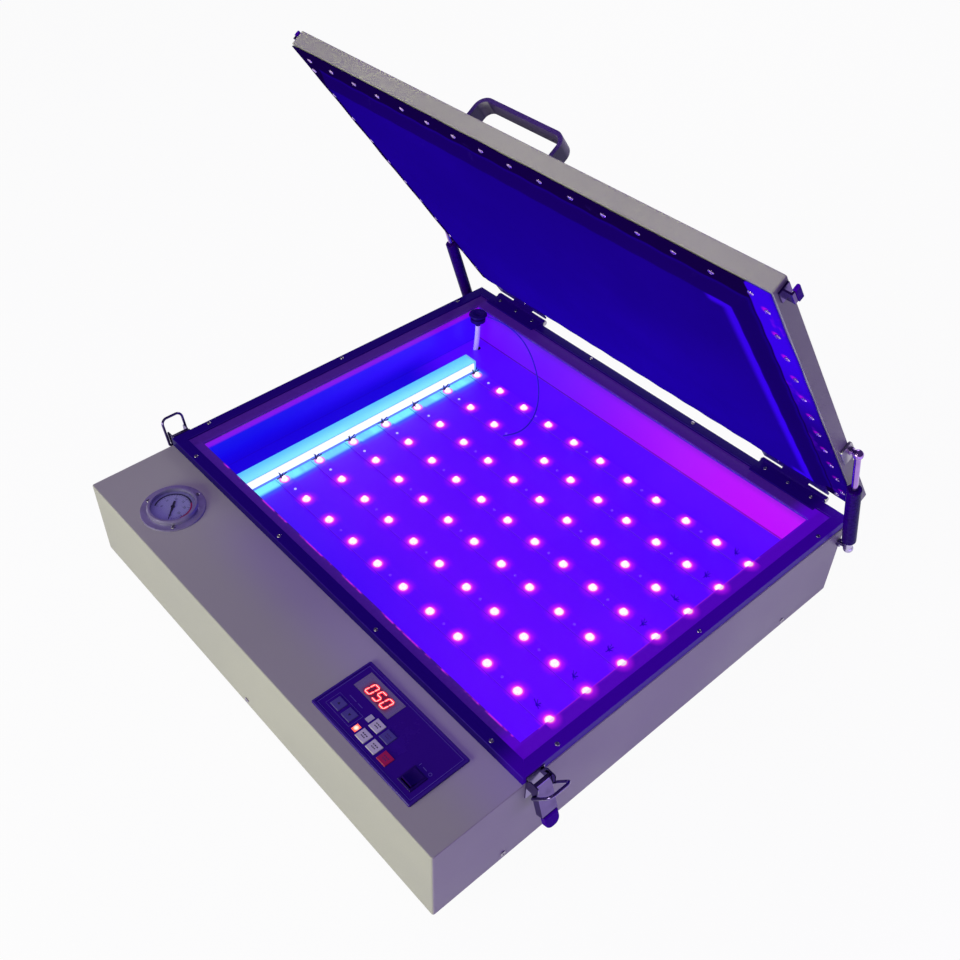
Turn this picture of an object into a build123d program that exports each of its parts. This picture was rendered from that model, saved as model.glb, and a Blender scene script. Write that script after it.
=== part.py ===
from build123d import *
import os
from math import cos, radians, sin

# Vacuum exposure unit for screen printing: a shallow steel case with an LED lamp chamber
# under a sheet of glass, and a hinged lid whose rubber blanket is drawn down on the screen.
# Millimetres. X runs along the front edge, +Y towards the hinges, +Z up.
# The solids are drawn about the middle of the case, on the surface that the feet stand on.
# Each is saved with its origin a little further back, below the middle of the open unit.

# ---- case ----
case_width = 700.0
case_depth = 694.0
case_height = 118.3
origin_setback = 8.0           # saved origin behind the middle of the case
foot_height = 8.0
foot_radius = 14.0
foot_inset = 52.0
sheet = 1.5
case_corner_radius = 3.0
fit = 0.3                      # gap between parts that are dropped or slid together
running = 0.06                 # radial gap of pins in their bores

# ---- glass and its frame ----
opening_side = 33.8            # clear opening inside the frame, at the sides, front and rear
opening_near = 28.7
opening_far = 37.5
frame_side_inset = 1.1         # frame inside the case at the sides
deck_depth = 122.8             # deck in front of the frame
frame_overhang = 2.9           # frame behind the rear wall
frame_band = 16.0
frame_rise = 12.7
mitre_gap = 0.2
glass_thickness = 6.0
seal_wall = 3.1
seal_lip = 2.2
seal_bed = 0.5

# ---- lamp chamber ----
chamber_side = 5.4             # chamber beyond the opening, at the sides, front and rear
chamber_near = 4.0
chamber_far = 5.6
chamber_floor_height = 61.0    # floor above the underside of the case

# ---- lamps ----
led_columns = 11
led_rows = 7
led_pitch_x = 53.0
led_pitch_y = 60.8
led_centre_x = 20.6
led_centre_y = 65.0
led_size = 7.0
led_height = 1.4
board_width = 20.0
board_thickness = 1.6
board_overhang = 8.0
tube_width = 24.0
tube_height = 22.0
tube_off_wall = 67.5           # right edge of the tube from the left wall of the chamber
tube_near = 14.5               # ends of the tube from the front and rear walls
tube_far = 66.0

# ---- lid ----
lid_side_overhang = 2.5         # lid beyond the case at each side
lid_front_reach = 1.2          # lid behind the front of the frame
lid_wall = 19.6
lid_open = 55.0                # degrees, the pose in which the lid is modelled
hinge_behind = 8.0             # hinge axis behind the rear wall of the case
lid_gap = 10.8                 # closed lid above the glass frame
lid_setback = 14.0             # rear wall of the closed lid in front of the hinge axis
lid_lip = 28.0                 # width of the flange that the blanket is screwed to
blanket_thickness = 2.5
blanket_inset = 1.8            # blanket edge inside the lid edge
blanket_drop = 9.5             # how far the middle of the blanket stands out of its border
blanket_slope = 17.0
blanket_border = 28.0
lid_screw_columns = 16
lid_screw_rows = 11
lid_screw_end_x = 25.5         # first and last screw of a row from the lid's edges
lid_screw_end_y = 41.0
lid_screw_front = 17.0         # front screw row behind the front edge
lid_screw_side = 13.0
lid_screw_rear = 17.0

# ---- hinges ----
hinge_length = 102.0
hinge_inset = 90.0             # middle of each hinge from the side of the case
hinge_knuckle = 42.0
knuckle_radius = 4.6
pin_radius = 2.5
leaf_thickness = 2.5
leaf_width = 24.0

# ---- gas struts ----
strut_clear = 12.5             # struts outside the lid
strut_foot_inset = 6.9         # ball in front of the rear wall
strut_foot_drop = 24.0         # ball below the deck
strut_lid_reach = 163.8        # ball in front of the lid's rear edge
strut_lid_height = 17.4        # ball above the lower edge of the lid
ball_radius = 6.5
stud_ball_radius = 4.0
cylinder_radius = 9.0
cylinder_length = 118.0
rod_radius = 4.0

# ---- latches ----
latch_behind = 16.2            # latches behind the front of the frame
latch_pivot_off = 8.5          # pivot off the side wall
latch_pivot_rise = 1.7         # pivot above the deck
latch_width = 26.0
lever_gap = 0.5                # between the lever and each ear
lever_hang = 18.4              # degrees off the wall at rest
bail_reach = 40.0
bail_offset = 13.0
bail_wire = 1.8
bail_rest = {"right": 53.0, "left": 73.0}

# ---- panel, switch and gauge ----
panel_from_side = 142.5        # middle of the panel from the right side and the front
panel_from_front = 60.0
panel_width, panel_depth = 170.0, 83.0
panel_rise = 2.6
panel_rim = 3.0
panel_plate = 1.6
key_width, key_depth = 14.5, 13.5
key_travel = 0.8
key_stand = 1.0
gauge_from_side = 110.0
gauge_from_front = 59.0
gauge_flange_radius = 42.5
gauge_case_radius = 30.0
gauge_screw_circle = 73.0
gauge_depth = 30.0
gauge_barb = 8.0

# ---- derived places ----
underside = foot_height
deck = underside + case_height
wall_right = case_width / 2
wall_rear = case_depth / 2
frame_half_width = wall_right - frame_side_inset
frame_front = deck_depth - wall_rear
frame_rear = wall_rear + frame_overhang
opening_width = 2 * (frame_half_width - opening_side)
opening_front = frame_front + opening_near
opening_rear = frame_rear - opening_far
chamber_width = opening_width + 2 * chamber_side
chamber_front = opening_front - chamber_near
chamber_rear = opening_rear + chamber_far
tube_right_edge = tube_off_wall - chamber_width / 2
tube_front = chamber_front + tube_near
tube_rear = chamber_rear - tube_far
hinge_y = wall_rear + hinge_behind
hinge_centre = wall_right - hinge_inset
lid_width = case_width + 2 * lid_side_overhang
lid_depth = hinge_y - lid_setback - frame_front - lid_front_reach
lid_screw_pitch_x = (lid_width - 2 * lid_screw_end_x) / (lid_screw_columns - 1)
lid_screw_pitch_y = (lid_depth - 2 * lid_screw_end_y) / (lid_screw_rows - 1)
strut_x = lid_width / 2 + strut_clear
strut_foot_y = wall_rear - strut_foot_inset
latch_y = frame_front + latch_behind
latch_pivot_x = wall_right + latch_pivot_off
panel_x = wall_right - panel_from_side
panel_y = panel_from_front - wall_rear
gauge_x = gauge_from_side - wall_right
gauge_y = gauge_from_front - wall_rear
frame_top = deck + frame_rise
inner_width = case_width - 2 * sheet
inner_depth = case_depth - 2 * sheet
chamber_floor = underside + chamber_floor_height
flange_top = deck + sheet
glass_bottom = flange_top + seal_bed
glass_top = glass_bottom + glass_thickness
frame_depth = frame_rear - frame_front
frame_y = (frame_rear + frame_front) / 2
opening_depth = opening_rear - opening_front
opening_y = (opening_rear + opening_front) / 2
bed_width = 2 * (frame_half_width - frame_band)
bed_depth = frame_depth - 2 * frame_band
chamber_depth = chamber_rear - chamber_front
chamber_y = (chamber_rear + chamber_front) / 2
glass_width = bed_width - 2 * (seal_wall + fit)
glass_depth = bed_depth - 2 * (seal_wall + fit)

hinge_z = frame_top
lid_plane = Plane(
    origin=(0, hinge_y, hinge_z),
    x_dir=(1, 0, 0),
    z_dir=(0, sin(radians(lid_open)), cos(radians(lid_open))),
)
lid_rear = -lid_setback
lid_front = lid_rear - lid_depth
lid_mid = (lid_rear + lid_front) / 2
lid_side = lid_width / 2
blanket_under = lid_gap - blanket_thickness
leaf_under = blanket_under - leaf_thickness
blanket_width = lid_width - 2 * blanket_inset
blanket_depth = lid_depth - 2 * blanket_inset

os.makedirs("parts", exist_ok=True)
nodes = []


def save(name, part):
    """Write a finished piece under its own name, seen from the unit's origin."""
    placed = Pos(0, -origin_setback, 0) * part
    placed.label = name
    export_step(placed, f"parts/{name}.step")
    nodes.append(name)


def on_lid(height):
    """A plane parallel to the lid, this far above the hinge axis when the lid is shut."""
    return lid_plane.offset(height)


def turned(plane, angle):
    """The same plane turned about its own normal, in degrees."""
    return Plane(plane.location * Rotation(0, 0, angle))


def section_at(x, y):
    """An upright plane whose local X runs outwards from a vertical axis and local Y upwards."""
    return Plane(origin=(x, y, 0), x_dir=(1, 0, 0), z_dir=(0, -1, 0))


# =====================================================================
# Case
# =====================================================================

gauge_hole = gauge_case_radius + 1.0
inlet_x, inlet_z = 250.0, underside + 34.0
inlet_width, inlet_height = 27.6, 20.0
fan_size = 80.0
fan_depth = 20.0
fan_z = underside + 60.0
fan_y = wall_rear - sheet - fan_depth
fan_bore = 38.0
grille_radius = 36.0
grille_slots = 9
grille_pitch = 7.6
grille_slot = 3.8
case_screw_height = underside + 9.5
side_screw_y = 248.0
case_screw_radius = 1.9
flange_height = 18.0

with BuildPart() as base_shell:
    with BuildSketch(Plane.XY.offset(underside)):
        Rectangle(case_width, case_depth)
    extrude(amount=case_height)
    fillet(base_shell.edges().filter_by(Axis.Z), case_corner_radius)
    fillet(base_shell.faces().sort_by(Axis.Z)[-1].edges(), sheet)
    with BuildSketch(Plane.XY.offset(underside)):
        Rectangle(inner_width, inner_depth)
    extrude(amount=case_height - sheet, mode=Mode.SUBTRACT)
    # window for the lamp chamber, cut-outs for gauge and control panel
    with BuildSketch(Plane.XY.offset(deck)):
        with Locations((0, chamber_y)):
            Rectangle(chamber_width + 2 * (sheet + fit), chamber_depth + 2 * (sheet + fit))
        with Locations((gauge_x, gauge_y)):
            Circle(gauge_hole)
        with Locations((panel_x, panel_y)):
            Rectangle(panel_width - 12, panel_depth - 12)
    extrude(amount=-sheet, mode=Mode.SUBTRACT)
    # air outlet behind the fan, and the hole of the mains inlet
    rear_face = Plane(origin=(0, wall_rear, 0), x_dir=(-1, 0, 0), z_dir=(0, 1, 0))
    with BuildSketch(rear_face):
        for n in range(grille_slots):
            across = (n - (grille_slots - 1) / 2) * grille_pitch
            chord = 2 * (grille_radius**2 - across**2) ** 0.5
            with Locations((across, fan_z)):
                SlotOverall(chord, grille_slot, rotation=90)
        with Locations((-inlet_x, inlet_z)):
            Rectangle(inlet_width + 2 * fit, inlet_height + 2 * fit)
    extrude(amount=-sheet, mode=Mode.SUBTRACT)
    # clearance holes for the case screws
    with BuildSketch(Plane.YZ.offset(-wall_right)):
        with Locations((-side_screw_y, case_screw_height), (side_screw_y, case_screw_height)):
            Circle(case_screw_radius + 0.2)
    extrude(amount=case_width, mode=Mode.SUBTRACT)
    with BuildSketch(Plane.XZ.offset(-wall_rear)):
        with Locations((0, case_screw_height)):
            Circle(case_screw_radius + 0.2)
    extrude(amount=case_depth, mode=Mode.SUBTRACT)
save("base_shell", base_shell.part)

vent_rows = 9
tray_width = inner_width - 2 * fit
tray_depth = inner_depth - 2 * fit
with BuildPart() as bottom_plate:
    with BuildSketch(Plane.XY.offset(underside)):
        Rectangle(tray_width, tray_depth)
    extrude(amount=flange_height)
    with BuildSketch(Plane.XY.offset(underside + sheet)):
        Rectangle(tray_width - 2 * sheet, tray_depth - 2 * sheet)
    extrude(amount=flange_height, mode=Mode.SUBTRACT)
    # air inlet slots under the lamp chamber
    with BuildSketch(Plane.XY.offset(underside)):
        with GridLocations(150.0, 14.0, 2, vent_rows):
            SlotOverall(90.0, 4.0)
    extrude(amount=sheet, mode=Mode.SUBTRACT)
    with BuildSketch(Plane.YZ.offset(-wall_right)):
        with Locations((-side_screw_y, case_screw_height), (side_screw_y, case_screw_height)):
            Circle(case_screw_radius + 0.05)
    extrude(amount=case_width, mode=Mode.SUBTRACT)
    with BuildSketch(Plane.XZ.offset(-wall_rear)):
        with Locations((0, case_screw_height)):
            Circle(case_screw_radius + 0.05)
    extrude(amount=case_depth, mode=Mode.SUBTRACT)
save("bottom_plate", bottom_plate.part)

foot_x = case_width / 2 - foot_inset
foot_y = case_depth / 2 - foot_inset
with BuildPart() as rubber_feet:
    with BuildSketch():
        with GridLocations(2 * foot_x, 2 * foot_y, 2, 2):
            Circle(foot_radius - 1.5)
    extrude(amount=foot_height, taper=-8)
save("rubber_feet", rubber_feet.part)


def pan_head_screw(head_radius, head, shank_radius, shank):
    """A pan-head screw with its head up and its seat at zero."""
    with BuildPart(mode=Mode.PRIVATE) as screw:
        with BuildSketch(Plane.XY.offset(-shank)):
            RegularPolygon(shank_radius, 8)
        extrude(amount=shank)
        with BuildSketch():
            RegularPolygon(head_radius, 12)
        extrude(amount=head * 0.5)
        with BuildSketch(Plane.XY.offset(head * 0.5)):
            RegularPolygon(head_radius, 12)
        with BuildSketch(Plane.XY.offset(head)):
            RegularPolygon(head_radius * 0.65, 12)
        loft()
    return screw.part


case_screw_spots = []
for y in (-side_screw_y, side_screw_y):
    for side in (-1, 1):
        case_screw_spots.append(
            Plane(origin=(side * wall_right, y, case_screw_height), z_dir=(side, 0, 0))
        )
for side in (-1, 1):
    case_screw_spots.append(
        Plane(origin=(0, side * wall_rear, case_screw_height), z_dir=(0, side, 0))
    )
case_screw = pan_head_screw(3.6, 1.6, case_screw_radius, 5.0)
with BuildPart() as case_screws:
    for spot in case_screw_spots:
        add(spot * case_screw)
save("case_screws", case_screws.part)

# =====================================================================
# Glass, its frame and its seal
# =====================================================================

frame_corners = [
    (side * (frame_half_width - frame_band / 2), edge, 45 * turn)
    for side, edge, turn in (
        (-1, frame_front + frame_band / 2, 1),
        (1, frame_front + frame_band / 2, -1),
        (-1, frame_rear - frame_band / 2, -1),
        (1, frame_rear - frame_band / 2, 1),
    )
]
frame_screw_radius = 1.6
frame_screw_inset = 6.0
frame_screw_spots = []
frame_screw_end = 54.2         # outer screws of the front bar from its ends
frame_screw_inner = 98.2       # inner screws from the middle
frame_screw_outer = frame_half_width - frame_screw_end
for x in (-frame_screw_outer, -frame_screw_inner, frame_screw_inner, frame_screw_outer):
    frame_screw_spots.append((x, frame_front + frame_screw_inset))
for x in (-frame_screw_inner, frame_screw_inner):
    frame_screw_spots.append((x, frame_rear - frame_screw_inset))
for y in (frame_front + 55.7, frame_front + 286.2, frame_rear - 57.4):
    for side in (-1, 1):
        frame_screw_spots.append((side * (frame_half_width - frame_screw_inset), y))
leaf_screw_spots = []
for centre in (-hinge_centre, hinge_centre):
    for x in (-36.0, 0.0, 36.0):
        leaf_screw_spots.append((centre + x, hinge_y - 13.0))

with BuildPart() as glass_frame:
    with BuildSketch(Plane.XY.offset(deck)):
        with Locations((0, frame_y)):
            Rectangle(2 * frame_half_width, frame_depth)
            Rectangle(bed_width, bed_depth, mode=Mode.SUBTRACT)
    extrude(amount=frame_rise)
    chamfer(glass_frame.faces().sort_by(Axis.Z)[-1].edges(), 0.6)
    with BuildSketch(Plane.XY.offset(deck)):
        for x, y, turn in frame_corners:
            with Locations((x, y)):
                Rectangle(frame_band * 2, mitre_gap, rotation=turn)
    extrude(amount=frame_rise, mode=Mode.SUBTRACT)
    with BuildSketch(Plane.XY.offset(frame_top)):
        with Locations(*frame_screw_spots, *leaf_screw_spots):
            Circle(frame_screw_radius + 0.1)
    extrude(amount=-5.0, mode=Mode.SUBTRACT)
save("glass_frame", glass_frame.part)

port_from_side, port_from_rear = 16.1, 15.4     # port inside the clear opening
port_x = port_from_side - opening_width / 2
port_y = opening_rear - port_from_rear
port_hole = 9.0
with BuildPart() as glass_plate:
    with BuildSketch(Plane.XY.offset(glass_bottom)) as glass_outline:
        with Locations((0, frame_y)):
            Rectangle(glass_width, glass_depth)
        fillet(glass_outline.vertices(), 3.0)
        with Locations((port_x, port_y)):
            Circle(port_hole + fit, mode=Mode.SUBTRACT)
    extrude(amount=glass_thickness)
    chamfer(glass_plate.edges().group_by(Axis.Z)[-1].filter_by(GeomType.LINE), 0.5)
save("glass_plate", glass_plate.part)

seal_width = bed_width - 2 * fit
seal_depth = bed_depth - 2 * fit
with BuildPart() as glass_seal:
    with BuildSketch(Plane.XY.offset(flange_top)):
        with Locations((0, frame_y)):
            Rectangle(seal_width, seal_depth)
            Rectangle(glass_width + fit, glass_depth + fit, mode=Mode.SUBTRACT)
    extrude(amount=glass_top + seal_lip - flange_top)
    with BuildSketch(Plane.XY.offset(flange_top)):
        with Locations((0, frame_y)):
            Rectangle(seal_width, seal_depth)
        with Locations((0, chamber_y)):
            Rectangle(chamber_width + 6, chamber_depth + 3, mode=Mode.SUBTRACT)
    extrude(amount=seal_bed)
    with BuildSketch(Plane.XY.offset(glass_top)):
        with Locations((0, frame_y)):
            Rectangle(seal_width, seal_depth)
        with Locations((0, opening_y)):
            Rectangle(opening_width, opening_depth, mode=Mode.SUBTRACT)
    extrude(amount=seal_lip)
save("glass_seal", glass_seal.part)

# =====================================================================
# Lamp chamber and lamps
# =====================================================================

hose_radius = 4.0
hose_hole = hose_radius + 1.5
with BuildPart() as lamp_chamber:
    with BuildSketch(Plane.XY.offset(chamber_floor - sheet)):
        with Locations((0, chamber_y)):
            Rectangle(chamber_width + 2 * sheet, chamber_depth + 2 * sheet)
    extrude(amount=flange_top - chamber_floor + sheet)
    with BuildSketch(Plane.XY.offset(deck)):
        with Locations((0, frame_y)):
            Rectangle(bed_width - 2 * fit, bed_depth - 2 * fit)
    extrude(amount=sheet)
    with BuildSketch(Plane.XY.offset(chamber_floor)):
        with Locations((0, chamber_y)):
            Rectangle(chamber_width, chamber_depth)
    extrude(amount=flange_top - chamber_floor, mode=Mode.SUBTRACT)
    with BuildSketch(Plane.XY.offset(chamber_floor)):
        with Locations((port_x, port_y)):
            Circle(hose_hole)
    extrude(amount=-sheet, mode=Mode.SUBTRACT)
save("lamp_chamber", lamp_chamber.part)

led_span_x = (led_columns - 1) * led_pitch_x
board_length = led_span_x + 2 * board_overhang
with BuildPart() as led_boards:
    with BuildSketch(Plane.XY.offset(chamber_floor)):
        with Locations((led_centre_x, led_centre_y)):
            with GridLocations(led_pitch_x, led_pitch_y, 1, led_rows):
                Rectangle(board_length, board_width)
    extrude(amount=board_thickness)
save("led_boards", led_boards.part)

board_top = chamber_floor + board_thickness
with BuildPart() as led_emitters:
    with BuildSketch(Plane.XY.offset(board_top)):
        with Locations((led_centre_x, led_centre_y)):
            with GridLocations(led_pitch_x, led_pitch_y, led_columns, led_rows):
                Rectangle(led_size, led_size)
    extrude(amount=led_height)
save("led_emitters", led_emitters.part)

# White inspection lamp along the left side of the chamber
tube_x = tube_right_edge - tube_width / 2
tube_length = tube_rear - tube_front
tube_cap = 3.0
lamp_section = Plane(origin=(tube_x, tube_front, chamber_floor), x_dir=(1, 0, 0), z_dir=(0, -1, 0))
with BuildPart() as work_lamp_housing:
    with BuildSketch(lamp_section) as housing_outline:
        with Locations((0, tube_height / 2)):
            Rectangle(tube_width, tube_height)
        fillet(housing_outline.vertices(), 1.5)
    extrude(amount=-tube_length)
    with BuildSketch(lamp_section.offset(-tube_cap)):
        with Locations((tube_width / 2, tube_height / 2)):
            Rectangle(tube_width - 3, tube_height - 3)
    extrude(amount=-(tube_length - 2 * tube_cap), mode=Mode.SUBTRACT)
save("work_lamp_housing", work_lamp_housing.part)

with BuildPart() as work_lamp_diffuser:
    with BuildSketch(lamp_section.offset(-tube_cap - fit)) as diffuser_outline:
        with Locations((tube_width / 4 + 1.0, tube_height / 2)):
            Rectangle(tube_width / 2 - 2.0, tube_height - 3 - 2 * fit)
        fillet(diffuser_outline.vertices().group_by(Axis.X)[-1], 6.0)
    extrude(amount=-(tube_length - 2 * tube_cap - 2 * fit))
save("work_lamp_diffuser", work_lamp_diffuser.part)

# =====================================================================
# Vacuum: port in the glass, hose, pump and bleeder cord
# =====================================================================

port_rim = 14.5
port_bore = 3.0
nipple_end = glass_bottom - 14.0
with BuildPart() as suction_port:
    with BuildSketch(section_at(port_x, port_y)):
        with BuildLine():
            Polyline(
                (port_bore, nipple_end),
                (hose_radius, nipple_end),
                (hose_radius, glass_bottom - 5.0),
                (port_hole + 3.0, glass_bottom - 5.0),
                (port_hole + 3.0, glass_bottom),
                (port_hole, glass_bottom),
                (port_hole, glass_top),
                (port_rim, glass_top),
                (port_rim - 1.0, glass_top + 1.7),
                (port_hole, glass_top + 1.7),
                (port_bore + 1.0, glass_top - 1.5),
                (port_bore, glass_top - 1.5),
                close=True,
            )
        make_face()
    revolve(axis=Axis((port_x, port_y, 0), (0, 0, 1)))
save("suction_port", suction_port.part)

pump_x = gauge_x + 170.0
pump_y = gauge_y + 13.0
pump_floor = underside + sheet
pump_inlet = (pump_x - 64.0, pump_y, pump_floor + 46.0)


def tube_along(points, radius):
    """A round tube of straight runs joined by tangent arcs, as large as the runs allow."""
    radii = []
    for before, corner, after in zip(points, points[1:], points[2:]):
        first = Vector(*corner) - Vector(*before)
        second = Vector(*after) - Vector(*corner)
        half_turn = radians(first.get_angle(second)) / 2
        radii.append(0.45 * min(first.length, second.length) * cos(half_turn) / sin(half_turn))
    print("  radii", [round(r, 1) for r in radii])
    with BuildPart() as tube:
        with BuildLine() as path:
            FilletPolyline(*points, radius=radii)
        start = Vector(*points[1]) - Vector(*points[0])
        with BuildSketch(Plane(origin=points[0], z_dir=start)):
            Circle(radius)
        sweep(path=path.line)
    length = sum(edge.length for edge in path.line.edges())
    section = 3.14159265 * radius**2
    print("  tube", round(length, 1), "mm, volume ratio", round(tube.part.volume / section / length, 4))
    return tube.part


hose_route = [
    (port_x, port_y, nipple_end),
    (port_x, port_y, underside + 24.0),
    (port_x + 2, port_y - 75, underside + 12.0),
    (port_x - 2, port_y - 150, underside + 11.0),
    (port_x + 3, port_y - 225, underside + 12.0),
    (port_x - 1, port_y - 300, underside + 11.0),
    (port_x + 3, port_y - 375, underside + 12.0),
    (port_x + 5, port_y - 450, underside + 13.0),
    (port_x + 16, port_y - 519, underside + 18.0),
    (port_x + 51, pump_y + 3, underside + 30.0),
    (pump_inlet[0] - 56, pump_inlet[1], pump_inlet[2]),
    pump_inlet,
]
gauge_hose_radius = 2.5
gauge_inlet = (pump_inlet[0], pump_y - 15.0, pump_floor + 50.0)
gauge_barb_end = deck - gauge_depth - gauge_barb
gauge_route = [
    (gauge_x, gauge_y, gauge_barb_end),
    (gauge_x, gauge_y, gauge_barb_end - 36.0),
    (gauge_x + 22, gauge_y - 2, gauge_barb_end - 60.0),
    (gauge_x + 58, gauge_y - 3, gauge_barb_end - 44.0),
    (gauge_inlet[0] - 20, gauge_inlet[1], gauge_inlet[2]),
    gauge_inlet,
]
suction_hose_part = tube_along(hose_route, hose_radius)
gauge_hose_part = tube_along(gauge_route, gauge_hose_radius)
with BuildPart() as vacuum_hoses:
    add(suction_hose_part)
    add(gauge_hose_part)
save("vacuum_hoses", vacuum_hoses.part)

cord_radius = 1.0
cord_z = glass_top + cord_radius + 0.1
bleeder_points = [
    (port_x + 15.5, port_y + 6),
    (port_x + 35, port_y + 12),
    (port_x + 64, port_y + 12.5),
    (port_x + 95, port_y + 6),
    (port_x + 128, port_y - 9),
    (port_x + 163, port_y - 31),
    (port_x + 196, port_y - 57),
    (port_x + 222, port_y - 84),
    (port_x + 240, port_y - 110),
    (port_x + 249, port_y - 134),
    (port_x + 249, port_y - 155),
    (port_x + 241, port_y - 170),
]
bleeder_cord_part = tube_along([(x, y, cord_z) for x, y in bleeder_points], cord_radius)
save("bleeder_cord", bleeder_cord_part)

motor_radius = 27.0
motor_length = 86.0
motor_height = pump_floor + 36.0
motor_front = Plane(origin=(pump_x - 20, pump_y, motor_height), x_dir=(0, 1, 0), z_dir=(1, 0, 0))
with BuildPart() as vacuum_pump:
    with BuildSketch(motor_front):
        Circle(motor_radius)
    extrude(amount=motor_length)
    chamfer(vacuum_pump.edges().filter_by(GeomType.CIRCLE), 3.0)
    # head, its cover and the two hose nozzles
    with BuildSketch(motor_front) as head_outline:
        with Locations((0, 2)):
            Rectangle(58.0, 60.0)
        chamfer(head_outline.vertices(), 6.0)
    extrude(amount=-26.0)
    with BuildSketch(motor_front.offset(-26.0)) as cover_outline:
        with Locations((0, 2)):
            Rectangle(48.0, 50.0)
        chamfer(cover_outline.vertices(), 5.0)
    extrude(amount=-14.0)
    for nozzle, radius in ((pump_inlet, hose_radius), (gauge_inlet, gauge_hose_radius)):
        with BuildSketch(Plane(origin=nozzle, x_dir=(0, 1, 0), z_dir=(1, 0, 0))):
            Circle(radius)
        extrude(amount=8.0)
    # foot that the motor is bolted down by
    with BuildSketch(Plane.XY.offset(pump_floor)):
        with Locations((pump_x + 22, pump_y)):
            Rectangle(54.0, 60.0)
    extrude(amount=4.0)
    with BuildSketch(Plane.XY.offset(pump_floor)):
        with Locations((pump_x + 22, pump_y)):
            Rectangle(40.0, 24.0)
    extrude(amount=16.0)
save("vacuum_pump", vacuum_pump.part)

supply_x, supply_y = panel_x - 17.5, panel_y + 15.0
with BuildPart() as power_supply:
    with BuildSketch(Plane.XY.offset(pump_floor)):
        with Locations((supply_x, supply_y)):
            Rectangle(199.0, 98.0)
    extrude(amount=42.0)
    chamfer(power_supply.faces().sort_by(Axis.Z)[-1].edges(), 1.0)
    # terminal recess at one end
    with BuildSketch(Plane.XY.offset(pump_floor + 42.0)):
        with Locations((supply_x - 90.0, supply_y)):
            Rectangle(19.0 + 2, 86.0)
    extrude(amount=-24.0, mode=Mode.SUBTRACT)
save("power_supply", power_supply.part)

# =====================================================================
# Mains inlet and fans in the rear wall
# =====================================================================

inlet_face = Plane(origin=(inlet_x, wall_rear, inlet_z), x_dir=(-1, 0, 0), z_dir=(0, 1, 0))
with BuildPart() as mains_inlet:
    with BuildSketch(inlet_face) as inlet_flange:
        Rectangle(48.0, 28.0)
        fillet(inlet_flange.vertices(), 4.0)
        with Locations((-20.0, 0), (20.0, 0)):
            Circle(1.7, mode=Mode.SUBTRACT)
    extrude(amount=2.5)
    with BuildSketch(inlet_face):
        Rectangle(inlet_width, inlet_height)
    extrude(amount=-22.0)
    # socket with its two clipped corners
    with BuildSketch(inlet_face.offset(2.5)) as socket:
        Rectangle(24.0, 16.0)
        chamfer(socket.vertices().group_by(Axis.Y)[-1], 4.0)
    extrude(amount=-18.0, mode=Mode.SUBTRACT)
    with BuildSketch(inlet_face.offset(-15.5)):
        with Locations((-7.0, -2.0), (7.0, -2.0), (0, 2.0)):
            Rectangle(2.0, 4.0)
    extrude(amount=14.0)
save("mains_inlet", mains_inlet.part)

hub_radius = 15.0
spindle_radius = 3.0
blade_count = 7
blade_length = 22.8
fan_plane = Plane(origin=(0, fan_y, fan_z), x_dir=(-1, 0, 0), z_dir=(0, 1, 0))
with BuildPart() as fan_frame:
    with BuildSketch(fan_plane) as fan_outline:
        Rectangle(fan_size, fan_size)
        fillet(fan_outline.vertices(), 5.0)
        Circle(fan_bore, mode=Mode.SUBTRACT)
    extrude(amount=fan_depth)
    # motor seat on three ribs, with the spindle standing on it
    with BuildSketch(fan_plane):
        Circle(hub_radius)
        with PolarLocations(26.5, 3, start_angle=90):
            Rectangle(25.0, 3.5)
    extrude(amount=3.0)
    with BuildSketch(fan_plane):
        Circle(spindle_radius)
    extrude(amount=13.0)
save("fan_frame", fan_frame.part)

rotor_plane = fan_plane.offset(3.5)
with BuildPart() as fan_rotor:
    with BuildSketch(rotor_plane):
        Circle(hub_radius)
    extrude(amount=14.0)
    for n in range(blade_count):
        blade_plane = turned(rotor_plane, n * 360 / blade_count).offset(1.0)
        with BuildSketch(blade_plane):
            with Locations((hub_radius + blade_length / 2 - 0.6, 0)):
                Rectangle(blade_length, 1.4)
        with BuildSketch(blade_plane.offset(12.0)):
            with Locations((hub_radius + blade_length / 2 - 0.6, 7.0)):
                Rectangle(blade_length, 1.4)
        loft()
    with BuildSketch(rotor_plane):
        Circle(spindle_radius + running)
    extrude(amount=10.0, mode=Mode.SUBTRACT)
save("fan_rotor", fan_rotor.part)

# =====================================================================
# Vacuum gauge
# =====================================================================

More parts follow.
